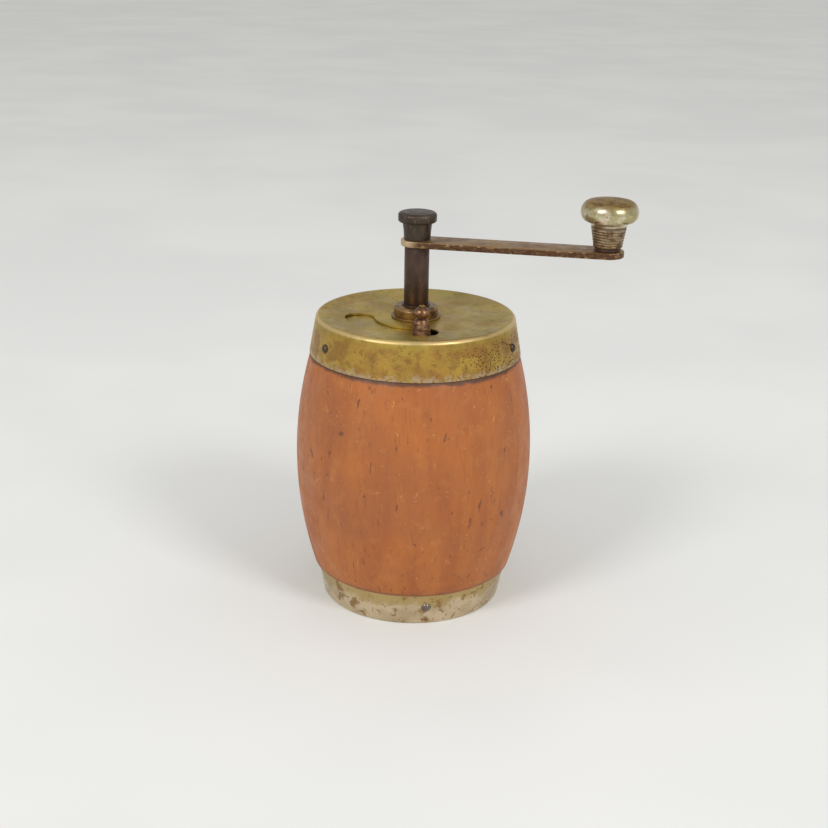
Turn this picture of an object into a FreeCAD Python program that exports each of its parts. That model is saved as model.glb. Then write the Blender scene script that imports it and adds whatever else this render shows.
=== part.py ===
import FreeCAD, Part
import math
import os
from types import SimpleNamespace
import Sketcher

# A barrel-shaped hand coffee mill, in millimetres.
#
# Frame: the origin is the centre of the base, where it stands. +Z runs up the barrel's axis, which
# is also the axis of the spindle and the burrs. The fill slot and its shutter face -Y, the drawer
# faces +Y, and the crank points to +X, turned a little towards -Y.
#
# Beans go in through the curved slot in the cap, fall into the turned chamber, are drawn down
# between the two burrs by the crank, and land in the drawer. A screw in the yoke under the burrs
# lifts the spindle on a steel ball, which closes the burrs for a finer grind.

DOC = FreeCAD.newDocument("CoffeeMill")

DRIVING = [
    ("sheet_metal", 0.8, "thickness of the cap, base and shutter sheet"),
    ("running_gap", 0.05, "radial clearance of a shaft that turns in its hole"),
    ("barrel_radius", 50.0, "largest radius of the wooden barrel"),
    ("bulge_height", 63.5, "height of the barrel's largest radius"),
    ("curve_radius", 164.0, "radius of the barrel's side curve"),
    ("base_radius", 38.3, "base cup, radius at the bottom"),
    ("base_rim_radius", 41.2, "base cup, radius at its upper rim"),
    ("base_height", 14.7, "base cup, height"),
    ("cap_rim_radius", 44.2, "cap, radius at its lower rim"),
    ("cap_rim_height", 108.5, "cap, height of its lower rim"),
    ("cap_top_radius", 41.9, "cap, radius at the top edge before rounding"),
    ("cap_edge_height", 124.5, "cap, height of its raised edge"),
    ("cap_dish_radius", 35.5, "cap, radius of the sunken flat middle"),
    ("cap_height", 123.1, "height of the cap's sunken flat middle"),
    ("cap_edge_round", 1.8, "rounding of the cap's upper edge"),
    ("chamber_radius", 34.0, "bean chamber, radius of the straight part"),
    ("chamber_bend", 16.0, "bean chamber, radius of its rounded bottom"),
    ("chamber_bend_height", 96.9, "bean chamber, height where the bottom starts to round in"),
    ("ledge_radius", 28.5, "bean chamber, outer radius of the ledge round the burrs"),
    ("ledge_height", 88.0, "bean chamber, height of the ledge"),
    ("burr_flange_radius", 26.0, "outer burr, radius of its flange"),
    ("burr_seat_height", 84.0, "height of the face the outer burr's flange lies on"),
    ("burr_flange_height", 2.0, "outer burr, thickness of its flange"),
    ("burr_hole_radius", 21.0, "radius of the hole in the wood round the outer burr"),
    ("burr_bottom", 66.0, "height of the lower face of both burrs"),
    ("burr_land", 6.0, "height of the fine grinding land"),
    ("burr_gap", 0.7, "radial gap of the burrs at the coarsest setting"),
    ("burr_radius", 18.2, "inner burr, largest radius"),
    ("burr_land_radius", 15.2, "inner burr, radius at the top of the grinding land"),
    ("burr_nose_radius", 8.5, "inner burr, radius where the cone meets the hub"),
    ("burr_nose_height", 88.0, "inner burr, height where the cone meets the hub"),
    ("burr_hub_radius", 7.0, "inner burr, radius of the hub"),
    ("burr_hub_top", 93.0, "inner burr, height of the hub's upper face"),
    ("shaft_radius", 4.0, "spindle, radius below the crank's column"),
    ("column_radius", 4.9, "spindle, radius of the column over the cap"),
    ("column_foot", 128.9, "spindle, height of the column's lower shoulder"),
    ("square_size", 6.8, "spindle, square that drives the crank"),
    ("stud_radius", 3.0, "spindle, threaded stud for the thumb nut"),
    ("ball_radius", 2.5, "thrust ball under the spindle"),
    ("ball_height", 60.5, "height of the thrust ball's centre"),
    ("collar_radius", 9.15, "bearing collar over the cap"),
    ("collar_top", 128.2, "bearing collar, height of its upper face"),
    ("spigot_radius", 6.3, "bearing collar, part that passes the cap and the shutter"),
    ("collar_thread_radius", 5.6, "bearing collar, thread for its nut"),
    ("slot_middle", 23.5, "fill slot, radius of its centre line"),
    ("slot_half_width", 6.1, "fill slot, half its width"),
    ("slot_start", -82.0, "fill slot, direction of the end beside the shutter knob"),
    ("slot_sweep", -90.5, "fill slot, turn from its first end to its last"),
    ("shutter_gap", 0.1, "free height over and under the shutter"),
    ("shutter_radius", 33.0, "shutter, outer radius"),
    ("shutter_edge", -75.5, "shutter, direction of its trailing edge when shut"),
    ("shutter_sweep", 116.0, "shutter, angle it covers"),
    ("shutter_knob_place", 22.8, "shutter knob, distance from the axis"),
    ("shutter_knob_angle", -84.0, "shutter knob, direction when shut"),
    ("shutter_knob_top", 133.9, "shutter knob, height of its top"),
    ("shutter_ball_radius", 3.2, "shutter knob, radius of its ball"),
    ("shutter_rivet_radius", 1.2, "shutter knob, radius of the rivet through it"),
    ("crank_length", 77.2, "distance from the spindle to the crank knob's axis"),
    ("crank_angle", -10.5, "direction of the crank at rest"),
    ("arm_width", 13.4, "crank arm, width of the flat bar"),
    ("arm_thickness", 2.6, "crank arm, thickness of the flat bar"),
    ("arm_bottom", 153.3, "crank arm, height of its lower face"),
    ("nut_radius", 7.9, "thumb nut, radius of the knurled head"),
    ("nut_neck_radius", 6.05, "thumb nut, radius of the neck under the head"),
    ("nut_foot_radius", 5.45, "thumb nut, radius of the neck on the arm"),
    ("nut_head_bottom", 163.0, "thumb nut, height of the head's lower face"),
    ("nut_top", 167.1, "thumb nut, height of its upper face"),
    ("knob_radius", 11.5, "crank knob, radius of the head"),
    ("knob_widest", 171.4, "crank knob, height of its widest place"),
    ("knob_top", 176.7, "crank knob, height of its top"),
    ("knob_neck_radius", 7.55, "crank knob, radius of the neck under the head"),
    ("knob_neck_height", 166.0, "crank knob, height where the neck meets the head"),
    ("knob_foot_radius", 5.9, "crank knob, radius at its lower end"),
    ("knob_foot", 157.3, "crank knob, height of its lower end"),
    ("knob_bore", 4.0, "crank knob, radius of the bore that holds the bush"),
    ("pin_radius", 2.5, "crank knob's pin, radius"),
    ("drawer_width", 53.2, "drawer, width over the sides"),
    ("drawer_gap", 0.4, "free space round the drawer"),
    ("drawer_floor", 17.4, "drawer, height of its underside"),
    ("drawer_wall", 3.0, "drawer, thickness of sides and back"),
    ("drawer_rim", 39.5, "drawer, height of the sides' upper edge"),
    ("drawer_inner_end", 31.0, "drawer, distance of its inner end from the axis"),
    ("drawer_face", 32.0, "drawer, distance of the front's inner face from the axis"),
    ("drawer_ceiling", 46.0, "height of the ceiling of the drawer's space"),
    ("yoke_length", 62.0, "yoke, length of the flat bar"),
    ("yoke_width", 13.0, "yoke, width of the flat bar"),
    ("yoke_thickness", 4.0, "yoke, thickness of the flat bar"),
    ("adjuster_radius", 4.0, "adjusting screw, radius"),
    ("adjuster_foot", 41.0, "adjusting screw, height of its slotted lower end"),
]


class Size(float):
    """A length or an angle that keeps the spreadsheet formula that gives it."""

    def __new__(cls, number, formula):
        size = float.__new__(cls, number)
        size.formula = formula
        return size

    def __add__(self, other):
        return Size(float(self) + float(other), f"({formula_of(self)} + {formula_of(other)})")

    def __sub__(self, other):
        return Size(float(self) - float(other), f"({formula_of(self)} - {formula_of(other)})")

    def __rsub__(self, other):
        return Size(float(other) - float(self), f"({formula_of(other)} - {formula_of(self)})")

    def __mul__(self, other):
        return Size(float(self) * float(other), f"({formula_of(self)} * {formula_of(other)})")

    def __truediv__(self, other):
        return Size(float(self) / float(other), f"({formula_of(self)} / {formula_of(other)})")

    def __neg__(self):
        return Size(-float(self), f"(0 - {formula_of(self)})")

    __radd__ = __add__
    __rmul__ = __mul__


def formula_of(size):
    return size.formula if isinstance(size, Size) else repr(float(size))


def root(size):
    return Size(math.sqrt(size), f"sqrt({size.formula})")


def cosine(angle):
    return Size(math.cos(math.radians(angle)), f"cos({formula_of(angle)} * 1 deg)")


def sine(angle):
    return Size(math.sin(math.radians(angle)), f"sin({formula_of(angle)} * 1 deg)")


def dome_radius(radius, rise):
    """The radius of the arc, centred on the axis, that rises this much inside this radius."""
    return (radius * radius + rise * rise) / (rise * 2)


def read_sizes():
    """Write the driving sizes into the spreadsheet and hand them back by name."""
    sheet = DOC.addObject("Spreadsheet::Sheet", "Sizes")
    for row, (name, number, meaning) in enumerate(DRIVING, start=1):
        sheet.set(f"A{row}", meaning)
        sheet.set(f"B{row}", str(number))
        sheet.setAlias(f"B{row}", name)
    DOC.recompute()
    return SimpleNamespace(**{name: Size(sheet.get(name), f"Sizes.{name}") for name, _, _ in DRIVING})


S = read_sizes()

# Heights and radii that several pieces share.
CAP_UNDERSIDE = S.cap_height - S.sheet_metal
ARM_TOP = S.arm_bottom + S.arm_thickness
COLLAR_WASHER_TOP = S.cap_height + 0.9
SHUTTER_TOP = CAP_UNDERSIDE - S.shutter_gap
SHUTTER_BOTTOM = SHUTTER_TOP - S.sheet_metal
SHUTTER_WASHER_TOP = SHUTTER_BOTTOM - S.shutter_gap
COLLAR_NUT_TOP = SHUTTER_WASHER_TOP - 0.6
SPINDLE_FOOT = S.ball_height + S.ball_radius
BALL_FOOT = S.ball_height - S.ball_radius
YOKE_TOP = S.drawer_ceiling + S.yoke_thickness
KNOB_X = S.crank_length * cosine(S.crank_angle)
KNOB_Y = S.crank_length * sine(S.crank_angle)
CAP_SLOPE = math.degrees(
    math.atan2(S.cap_rim_radius - S.cap_top_radius, S.cap_edge_height - S.cap_rim_height)
)
BASE_SLOPE = math.degrees(math.atan2(S.base_radius - S.base_rim_radius, S.base_height))


def wood_radius_at(height):
    """The barrel's outer radius at a height: one arc about a centre far inside the barrel."""
    rise = height - S.bulge_height
    return S.barrel_radius - S.curve_radius + root(S.curve_radius * S.curve_radius - rise * rise)


# ---------------------------------------------------------------- building blocks


def bind(thing, name, size):
    """Set a property, and tie it to the spreadsheet if the size comes from there."""
    setattr(thing, name, float(size))
    if isinstance(size, Size):
        thing.setExpression(name, size.formula)


def place(thing, x=0.0, y=0.0, z=0.0, rotation=None):
    """Place an object, and tie each coordinate that comes from the spreadsheet to it."""
    thing.Placement = FreeCAD.Placement(FreeCAD.Vector(x, y, z), rotation or FreeCAD.Rotation())
    for letter, distance in (("x", x), ("y", y), ("z", z)):
        if isinstance(distance, Size):
            thing.setExpression(f"Placement.Base.{letter}", distance.formula)
    return thing


def about_z(angle):
    return FreeCAD.Rotation(FreeCAD.Vector(0, 0, 1), float(angle))


def facing(direction, rise=0.0):
    """A rotation that turns +Z to point outwards at a direction, tilted up by rise degrees."""
    return about_z(direction) * FreeCAD.Rotation(FreeCAD.Vector(0, 1, 0), 90.0 - rise)


def cylinder(name, radius, height, angle=360.0, **where):
    solid = DOC.addObject("Part::Cylinder", name)
    bind(solid, "Radius", radius)
    bind(solid, "Height", height)
    bind(solid, "Angle", angle)
    return place(solid, **where)


def box(name, length, width, height, **where):
    solid = DOC.addObject("Part::Box", name)
    bind(solid, "Length", length)
    bind(solid, "Width", width)
    bind(solid, "Height", height)
    return place(solid, **where)


def hexagon(name, across_flats, height, **where):
    solid = DOC.addObject("Part::Prism", name)
    solid.Polygon = 6
    solid.Circumradius = across_flats / math.sqrt(3)
    bind(solid, "Height", height)
    return place(solid, **where)


def fuse(name, *solids):
    joined = DOC.addObject("Part::MultiFuse", name)
    joined.Shapes = list(solids)
    joined.Refine = True
    return joined


def cut(name, base, *tools):
    """Cut each tool from the base in turn; the last result carries the name."""
    for number, tool in enumerate(tools, start=1):
        last = number == len(tools)
        result = DOC.addObject("Part::Cut", name if last else f"{name}_step")
        result.Base = base
        result.Tool = tool
        base = result
    return base


def common(name, base, tool):
    """What two solids share."""
    shared = DOC.addObject("Part::Common", name)
    shared.Base = base
    shared.Tool = tool
    return shared


def group(name, solids):
    compound = DOC.addObject("Part::Compound", name)
    compound.Links = list(solids)
    return compound


def fix_point(sketch, edge, end, direction, distance):
    """Hold one end of an edge at a distance from the sketch's origin."""
    if distance == 0:
        axis = {"X": -2, "Y": -1}[direction]
        sketch.addConstraint(Sketcher.Constraint("PointOnObject", edge, end, axis))
        return
    rule = Sketcher.Constraint(f"Distance{direction}", -1, 1, edge, end, float(distance))
    number = sketch.addConstraint(rule)
    if isinstance(distance, Size):
        sketch.setExpression(f"Constraints[{number}]", distance.formula)


def arc_between(start, end, radius):
    """The shorter anticlockwise arc from start to end."""
    chord = end - start
    half = chord.Length / 2
    sagitta = radius - math.sqrt(max(radius * radius - half * half, 0.0))
    outward = FreeCAD.Vector(chord.y, -chord.x, 0).normalize()
    return Part.Arc(start, start + chord * 0.5 + outward * sagitta, end)


def outline(sketch, corners):
    """Draw a closed outline through corners, each held by its formula from the origin.

    A corner is (x, y) before a straight edge, or (x, y, radius, turn) before an arc, where turn is
    +1 for an arc that turns anticlockwise and -1 for one that turns clockwise.
    """
    points = [FreeCAD.Vector(float(corner[0]), float(corner[1]), 0) for corner in corners]
    ends = []
    for number, corner in enumerate(corners):
        here = points[number]
        there = points[(number + 1) % len(points)]
        if len(corner) == 2:
            sketch.addGeometry(Part.LineSegment(here, there), False)
            ends.append((1, 2))
        elif corner[3] > 0:
            sketch.addGeometry(arc_between(here, there, float(corner[2])), False)
            ends.append((1, 2))
        else:
            sketch.addGeometry(arc_between(there, here, float(corner[2])), False)
            ends.append((2, 1))
    for number, corner in enumerate(corners):
        before = (number - 1) % len(corners)
        first = ends[number][0]
        joint = Sketcher.Constraint("Coincident", before, ends[before][1], number, first)
        sketch.addConstraint(joint)
        fix_point(sketch, number, first, "X", corner[0])
        fix_point(sketch, number, first, "Y", corner[1])
        if len(corner) == 4:
            rule = sketch.addConstraint(Sketcher.Constraint("Radius", number, float(corner[2])))
            sketch.setExpression(f"Constraints[{rule}]", formula_of(corner[2]))


def sketch_on(body, role, name, lift=0.0):
    """A sketch on one of the body's own origin planes, lifted along the plane's normal."""
    sketch = body.newObject("Sketcher::SketchObject", name)
    plane = next(feature for feature in body.Origin.OriginFeatures if feature.Role == role)
    sketch.AttachmentSupport = [(plane, "")]
    sketch.MapMode = "FlatFace"
    sketch.AttachmentOffset = FreeCAD.Placement(FreeCAD.Vector(0, 0, float(lift)), FreeCAD.Rotation())
    if isinstance(lift, Size):
        sketch.setExpression("AttachmentOffset.Base.z", lift.formula)
    return sketch


def turned(name, corners, **where):
    """A body turned about Z from its half section, given as (radius, height) corners."""
    body = DOC.addObject("PartDesign::Body", name)
    sketch = sketch_on(body, "XZ_Plane", f"{name}_section")
    outline(sketch, corners)
    turning = body.newObject("PartDesign::Revolution", f"{name}_turning")
    turning.Profile = sketch
    turning.ReferenceAxis = (sketch, ["V_Axis"])
    turning.Angle = 360
    return place(body, **where)


def ring(name, outer, inner, bottom, top, **where):
    """A plain washer or bush."""
    corners = [(inner, bottom), (outer, bottom), (outer, top), (inner, top)]
    return turned(name, corners, **where)


def round_headed(name, head_radius, head_height, shank_radius, shank_length, **where):
    """A nail, screw or rivet with a domed head, its head standing on z = 0."""
    corners = [
        (0, -shank_length),
        (shank_radius, -shank_length),
        (shank_radius, 0),
        (head_radius, 0, dome_radius(head_radius, head_height), 1),
        (0, head_height),
    ]
    return turned(name, corners, **where)


# ---------------------------------------------------------------- fasteners


def nails_round(name, radius, height, slope, angles):
    """Round-headed nails driven square into a tapering band, at the given directions."""
    sink = 0.2
    nails = []
    for number, angle in enumerate(angles):
        nails.append(
            round_headed(
                f"{name}_{number + 1}", 2.0, 1.3, 0.8, 9.0,
                x=(radius - sink) * cosine(angle),
                y=(radius - sink) * sine(angle),
                z=height,
                rotation=facing(angle, slope),
            )
        )
    return group(name, nails)


def cap_nails():
    height = 115.3
    share = (height - S.cap_rim_height) / (S.cap_edge_height - S.cap_rim_height)
    radius = S.cap_rim_radius + (S.cap_top_radius - S.cap_rim_radius) * share
    return nails_round("cap_nails", radius, height, CAP_SLOPE, (-147.5, -23.0, 95.0))


def base_nails():
    height = 8.1
    radius = S.base_radius + (S.base_rim_radius - S.base_radius) * height / S.base_height
    return nails_round("base_nails", radius, height, BASE_SLOPE, (-80.4, 39.6, 159.6))


def burr_screws():
    """Three wood screws through the outer burr's flange."""
    place_radius = 23.6
    top = S.burr_seat_height + S.burr_flange_height
    screws = []
    for number in range(3):
        angle = 30.0 + 120.0 * number
        screws.append(
            round_headed(
                f"burr_screw_{number + 1}", 2.2, 1.5, 1.2, 12.0,
                x=place_radius * cosine(angle),
                y=place_radius * sine(angle),
                z=top,
            )
        )
    return group("burr_screws", screws)


def yoke_screws():
    """Two wood screws that hold the yoke against the ceiling of the drawer's space."""
    reach = 26.0
    upside_down = FreeCAD.Rotation(FreeCAD.Vector(1, 0, 0), 180)
    screws = []
    for number, side in enumerate((-1, 1), start=1):
        screws.append(
            round_headed(
                f"yoke_screw_{number}", 3.2, 1.8, 1.6, 12.0,
                y=side * reach, z=S.drawer_ceiling, rotation=upside_down,
            )
        )
    return group("yoke_screws", screws)


# ---------------------------------------------------------------- barrel


def barrel_blank():
    """The turned wood with its rebates for cap and base, bean chamber and burr hole."""
    corners = [
        (0, S.sheet_metal),
        (S.base_radius - S.sheet_metal, S.sheet_metal),
        (S.base_rim_radius - S.sheet_metal, S.base_height),
        (wood_radius_at(S.base_height), S.base_height, S.curve_radius, 1),
        (wood_radius_at(S.cap_rim_height), S.cap_rim_height),
        (S.cap_rim_radius - S.sheet_metal, S.cap_rim_height),
        (S.cap_top_radius - S.sheet_metal, CAP_UNDERSIDE),
        (S.chamber_radius, CAP_UNDERSIDE),
        (S.chamber_radius, S.chamber_bend_height),
        (S.chamber_radius - 1.0, S.chamber_bend_height, S.chamber_bend, -1),
        (S.ledge_radius, S.ledge_height),
        (S.burr_flange_radius, S.ledge_height),
        (S.burr_flange_radius, S.burr_seat_height),
        (S.burr_hole_radius, S.burr_seat_height),
        (S.burr_hole_radius, S.drawer_ceiling),
        (0, S.drawer_ceiling),
    ]
    return turned("barrel_blank", corners)


def drawer_space():
    """The space cut from the back of the barrel for the drawer."""
    half_width = S.drawer_width / 2 + S.drawer_gap
    floor = S.drawer_floor - S.drawer_gap
    return box(
        "drawer_space", half_width * 2, S.barrel_radius + S.drawer_inner_end + 1.0, S.drawer_ceiling - floor,
        x=-half_width, y=-S.drawer_inner_end - 1.0, z=floor,
    )


def yoke_recess():
    """The recess in the ceiling of the drawer's space that takes the yoke flush."""
    return box(
        "yoke_recess", S.yoke_width, S.yoke_length, S.yoke_thickness,
        x=-S.yoke_width / 2, y=-S.yoke_length / 2, z=S.drawer_ceiling,
    )


def base_cup(nails):
    """The drawn sheet cup under the barrel, nailed to the wood."""
    corners = [
        (0, 0),
        (S.base_radius, 0),
        (S.base_rim_radius, S.base_height),
        (S.base_rim_radius - S.sheet_metal, S.base_height),
        (S.base_radius - S.sheet_metal, S.sheet_metal),
        (0, S.sheet_metal),
    ]
    return cut("base_cup", turned("base_blank", corners), nails)


def slot_corners():
    """The fill slot: two arcs about the spindle's axis, closed by two half-round ends."""
    outer = S.slot_middle + S.slot_half_width
    inner = S.slot_middle - S.slot_half_width
    last = S.slot_start + S.slot_sweep

    def point(radius, angle):
        return radius * cosine(angle), radius * sine(angle)

    def end_point(angle, turn):
        """The slot's furthest point beyond an end, half a width along the end's tangent."""
        x, y = point(S.slot_middle, angle)
        return x - turn * S.slot_half_width * sine(angle), y + turn * S.slot_half_width * cosine(angle)

    return [
        (*point(outer, last), outer, 1),
        (*point(outer, S.slot_start), S.slot_half_width, 1),
        (*end_point(S.slot_start, 1), S.slot_half_width, 1),
        (*point(inner, S.slot_start), inner, -1),
        (*point(inner, last), S.slot_half_width, 1),
        (*end_point(last, -1), S.slot_half_width, 1),
    ]


def top_cap(nails):
    """The drawn sheet cap with its raised round edge, sunken middle, centre hole and fill slot."""
    hole = S.spigot_radius + S.running_gap
    crown_radius = S.cap_top_radius - 2.6
    corners = [
        (hole, CAP_UNDERSIDE),
        (S.cap_dish_radius, CAP_UNDERSIDE),
        (crown_radius, S.cap_edge_height - S.sheet_metal),
        (S.cap_top_radius - S.sheet_metal, S.cap_edge_height - S.sheet_metal),
        (S.cap_rim_radius - S.sheet_metal, S.cap_rim_height),
        (S.cap_rim_radius, S.cap_rim_height),
        (S.cap_top_radius, S.cap_edge_height),
        (crown_radius, S.cap_edge_height),
        (S.cap_dish_radius, S.cap_height),
        (hole, S.cap_height),
    ]
    body = turned("cap_blank", corners)
    DOC.recompute()
    turning = body.Tip
    edges = [
        f"Edge{number}"
        for number, edge in enumerate(turning.Shape.Edges, start=1)
        if abs(edge.BoundBox.ZMin - S.cap_edge_height) < 0.01
        and abs(edge.BoundBox.XMax - S.cap_top_radius) < 0.01
    ]
    rounding = body.newObject("PartDesign::Fillet", "cap_rounding")
    rounding.Base = (turning, edges)
    bind(rounding, "Radius", S.cap_edge_round)
    sketch = sketch_on(body, "XY_Plane", "fill_slot", S.cap_height + 1.0)
    outline(sketch, slot_corners())
    slot = body.newObject("PartDesign::Pocket", "fill_slot_pocket")
    slot.Profile = sketch
    bind(slot, "Length", S.sheet_metal + 2.0)
    DOC.recompute()
    removed = rounding.Shape.Volume - slot.Shape.Volume
    print(f"fill slot removes {removed:.1f} mm3")
    return cut("top_cap", body, nails)


# ---------------------------------------------------------------- bearing and shutter


def bearing_collar():
    """The turned bearing: a collar over the cap, a spigot for the shutter and a thread."""
    chamfer = 1.0
    bore = S.shaft_radius + S.running_gap
    corners = [
        (bore, COLLAR_NUT_TOP - 3.8),
        (S.collar_thread_radius, COLLAR_NUT_TOP - 3.8),
        (S.collar_thread_radius, SHUTTER_WASHER_TOP),
        (S.spigot_radius, SHUTTER_WASHER_TOP),
        (S.spigot_radius, COLLAR_WASHER_TOP),
        (S.collar_radius, COLLAR_WASHER_TOP),
        (S.collar_radius, S.collar_top - chamfer),
        (S.collar_radius - chamfer, S.collar_top),
        (bore, S.collar_top),
    ]
    return turned("bearing_collar", corners)


def collar_nut():
    """The nut that holds the bearing collar from inside the chamber."""
    height = 3.0
    blank = hexagon("collar_nut_blank", 15.0, height, z=COLLAR_NUT_TOP - height)
    bore = cylinder("collar_nut_bore", S.collar_thread_radius, height, z=COLLAR_NUT_TOP - height)
    return cut("collar_nut", blank, bore)


def shutter_plate(rivet):
    """The sheet quadrant under the cap, which turns about the bearing's spigot."""
    leaf = cylinder(
        "shutter_leaf", S.shutter_radius, S.sheet_metal, S.shutter_sweep,
        z=SHUTTER_BOTTOM, rotation=about_z(S.shutter_edge - S.shutter_sweep),
    )
    hub = cylinder("shutter_hub", 12.0, S.sheet_metal, z=SHUTTER_BOTTOM)
    hole = cylinder("shutter_hole", S.spigot_radius + S.running_gap, S.sheet_metal, z=SHUTTER_BOTTOM)
    return cut("shutter_plate", fuse("shutter_blank", leaf, hub), hole, rivet)


def shutter_knob(where):
    """The turned finger knob: a tapering foot, a thin neck and a ball round its rivet."""
    rivet = S.shutter_rivet_radius
    ball = S.shutter_ball_radius
    neck = 1.9
    foot_top = S.shutter_knob_top - 6.0
    ball_centre = S.shutter_knob_top - root(ball * ball - rivet * rivet)
    ball_foot = ball_centre - root(ball * ball - neck * neck)
    corners = [
        (rivet, SHUTTER_TOP),
        (3.65, SHUTTER_TOP),
        (3.65, SHUTTER_TOP + 0.8),
        (2.6, foot_top),
        (neck, foot_top),
        (neck, ball_foot, ball, 1),
        (ball, ball_centre, ball, 1),
        (rivet, S.shutter_knob_top),
    ]
    return turned("shutter_knob", corners, **where)


def shutter_rivet(where):
    """The brass rivet that holds the knob to the shutter, headed over at both ends."""
    foot_head = 0.6
    crown = 0.3
    rivet = S.shutter_rivet_radius
    corners = [
        (0, SHUTTER_BOTTOM - foot_head),
        (2.2, SHUTTER_BOTTOM - foot_head),
        (2.2, SHUTTER_BOTTOM),
        (rivet, SHUTTER_BOTTOM),
        (rivet, S.shutter_knob_top, dome_radius(rivet, crown), 1),
        (0, S.shutter_knob_top + crown),
    ]
    return turned("shutter_rivet", corners, **where)


# ---------------------------------------------------------------- burrs and thrust


def flutes(name, count, radius, low, high, twist, phase=0.0):
    """Round cutters laid along a conical face, from (radius, height) low to high."""
    cutters = []
    for number in range(count):
        angle = phase + 360.0 * number / count
        foot = about_z(angle).multVec(FreeCAD.Vector(low[0], 0, low[1]))
        head = about_z(angle + twist).multVec(FreeCAD.Vector(high[0], 0, high[1]))
        run = head - foot
        lean = FreeCAD.Rotation(FreeCAD.Vector(0, 0, 1), run)
        cutters.append(
            cylinder(f"{name}_{number + 1}", radius, run.Length, x=foot.x, y=foot.y, z=foot.z, rotation=lean)
        )
    return fuse(name, *cutters)


def outer_burr(screws):
    """The cast ring: a wide throat, a waist and the fine grinding land below it."""
    land_top = S.burr_bottom + S.burr_land
    top = S.burr_seat_height + S.burr_flange_height
    throat_radius = 19.6
    corners = [
        (S.burr_radius + S.burr_gap, S.burr_bottom),
        (S.burr_hole_radius - 0.2, S.burr_bottom),
        (S.burr_hole_radius - 0.2, S.burr_seat_height),
        (S.burr_flange_radius - 0.2, S.burr_seat_height),
        (S.burr_flange_radius - 0.2, top),
        (throat_radius, top),
        (S.burr_land_radius + S.burr_gap, land_top),
    ]
    blank = turned("outer_burr_blank", corners)
    grooves = flutes("outer_flutes", 10, 0.9, (16.2, 70.0), (20.2, 88.0), 12.0)
    return cut("outer_burr", blank, grooves, screws)


def inner_burr(pin):
    """The cast cone, widening downwards, with slanting cutting flutes."""
    corners = [
        (S.shaft_radius, S.burr_bottom),
        (S.burr_radius, S.burr_bottom),
        (S.burr_land_radius, S.burr_bottom + S.burr_land),
        (S.burr_nose_radius, S.burr_nose_height),
        (S.burr_hub_radius, S.burr_nose_height),
        (S.burr_hub_radius, S.burr_hub_top),
        (S.shaft_radius, S.burr_hub_top),
    ]
    blank = turned("inner_burr_blank", corners)
    grooves = flutes("inner_flutes", 10, 1.5, (18.9, 65.0), (8.9, 89.0), -40.0)
    return cut("inner_burr", blank, grooves, pin)


def burr_pin():
    """The cross pin that drives the inner burr."""
    radius = 1.25
    length = S.burr_hub_radius * 2
    crosswise = FreeCAD.Rotation(FreeCAD.Vector(0, 1, 0), 90)
    return cylinder("burr_pin", radius, length, x=-S.burr_hub_radius, z=90.5, rotation=crosswise)


def thrust_ball():
    ball = DOC.addObject("Part::Sphere", "thrust_ball")
    bind(ball, "Radius", S.ball_radius)
    return place(ball, z=S.ball_height)


def adjusting_screw():
    """The screw under the spindle: a cup for the ball on top, a driver slot below."""
    cup_depth = 2.0
    slot_size = 1.2
    top = BALL_FOOT + cup_depth
    shank = cylinder("adjuster_shank", S.adjuster_radius, top - S.adjuster_foot, z=S.adjuster_foot)
    cup = cylinder("adjuster_cup", S.ball_radius + S.running_gap, cup_depth, z=BALL_FOOT)
    slot = box(
        "adjuster_slot", slot_size, S.adjuster_radius * 2, slot_size,
        x=-slot_size / 2, y=-S.adjuster_radius, z=S.adjuster_foot,
    )
    return cut("adjusting_screw", shank, cup, slot)


def burr_yoke(screws):
    """The flat bar under the burrs that carries the adjusting screw."""
    bar = box(
        "yoke_bar", S.yoke_width, S.yoke_length, S.yoke_thickness,
        x=-S.yoke_width / 2, y=-S.yoke_length / 2, z=S.drawer_ceiling,
    )
    hole = cylinder("yoke_hole", S.adjuster_radius + S.running_gap, S.yoke_thickness, z=S.drawer_ceiling)
    return cut("burr_yoke", bar, hole, screws)


def lock_nut():
    """The thin nut that locks the adjusting screw under the yoke."""
    height = 3.5
    blank = hexagon("lock_nut_blank", 13.0, height, z=S.drawer_ceiling - height)
    bore = cylinder(
        "lock_nut_bore", S.adjuster_radius + S.running_gap, height, z=S.drawer_ceiling - height
    )
    return cut("lock_nut", blank, bore)


# ---------------------------------------------------------------- spindle and crank


def spindle(pin):
    """The steel spindle: shaft, column, square for the crank and stud for the thumb nut."""
    stud_top = S.nut_head_bottom + 1.2
    shaft = cylinder("spindle_shaft", S.shaft_radius, S.column_foot - SPINDLE_FOOT, z=SPINDLE_FOOT)
    column = cylinder("spindle_column", S.column_radius, S.arm_bottom - S.column_foot, z=S.column_foot)
    square = box(
        "spindle_square", S.square_size, S.square_size, S.arm_thickness,
        x=S.square_size / -2 * cosine(S.crank_angle) + S.square_size / 2 * sine(S.crank_angle),
        y=S.square_size / -2 * sine(S.crank_angle) - S.square_size / 2 * cosine(S.crank_angle),
        z=S.arm_bottom, rotation=about_z(S.crank_angle),
    )
    stud = cylinder("spindle_stud", S.stud_radius, stud_top - ARM_TOP, z=ARM_TOP)
    return cut("spindle", fuse("spindle_blank", shaft, column, square, stud), pin)


def crank_arm(square_hole, pin):
    """The flat bar with rounded ends, on the spindle's square."""
    half_width = S.arm_width / 2
    turn = about_z(S.crank_angle)
    bar = box(
        "arm_bar", S.crank_length, S.arm_width, S.arm_thickness,
        x=half_width * sine(S.crank_angle), y=-half_width * cosine(S.crank_angle),
        z=S.arm_bottom, rotation=turn,
    )
    near_end = cylinder("arm_near_end", half_width, S.arm_thickness, z=S.arm_bottom)
    far_end = cylinder("arm_far_end", half_width, S.arm_thickness, x=KNOB_X, y=KNOB_Y, z=S.arm_bottom)
    return cut("crank_arm", fuse("arm_blank", bar, near_end, far_end), square_hole, pin)


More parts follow.
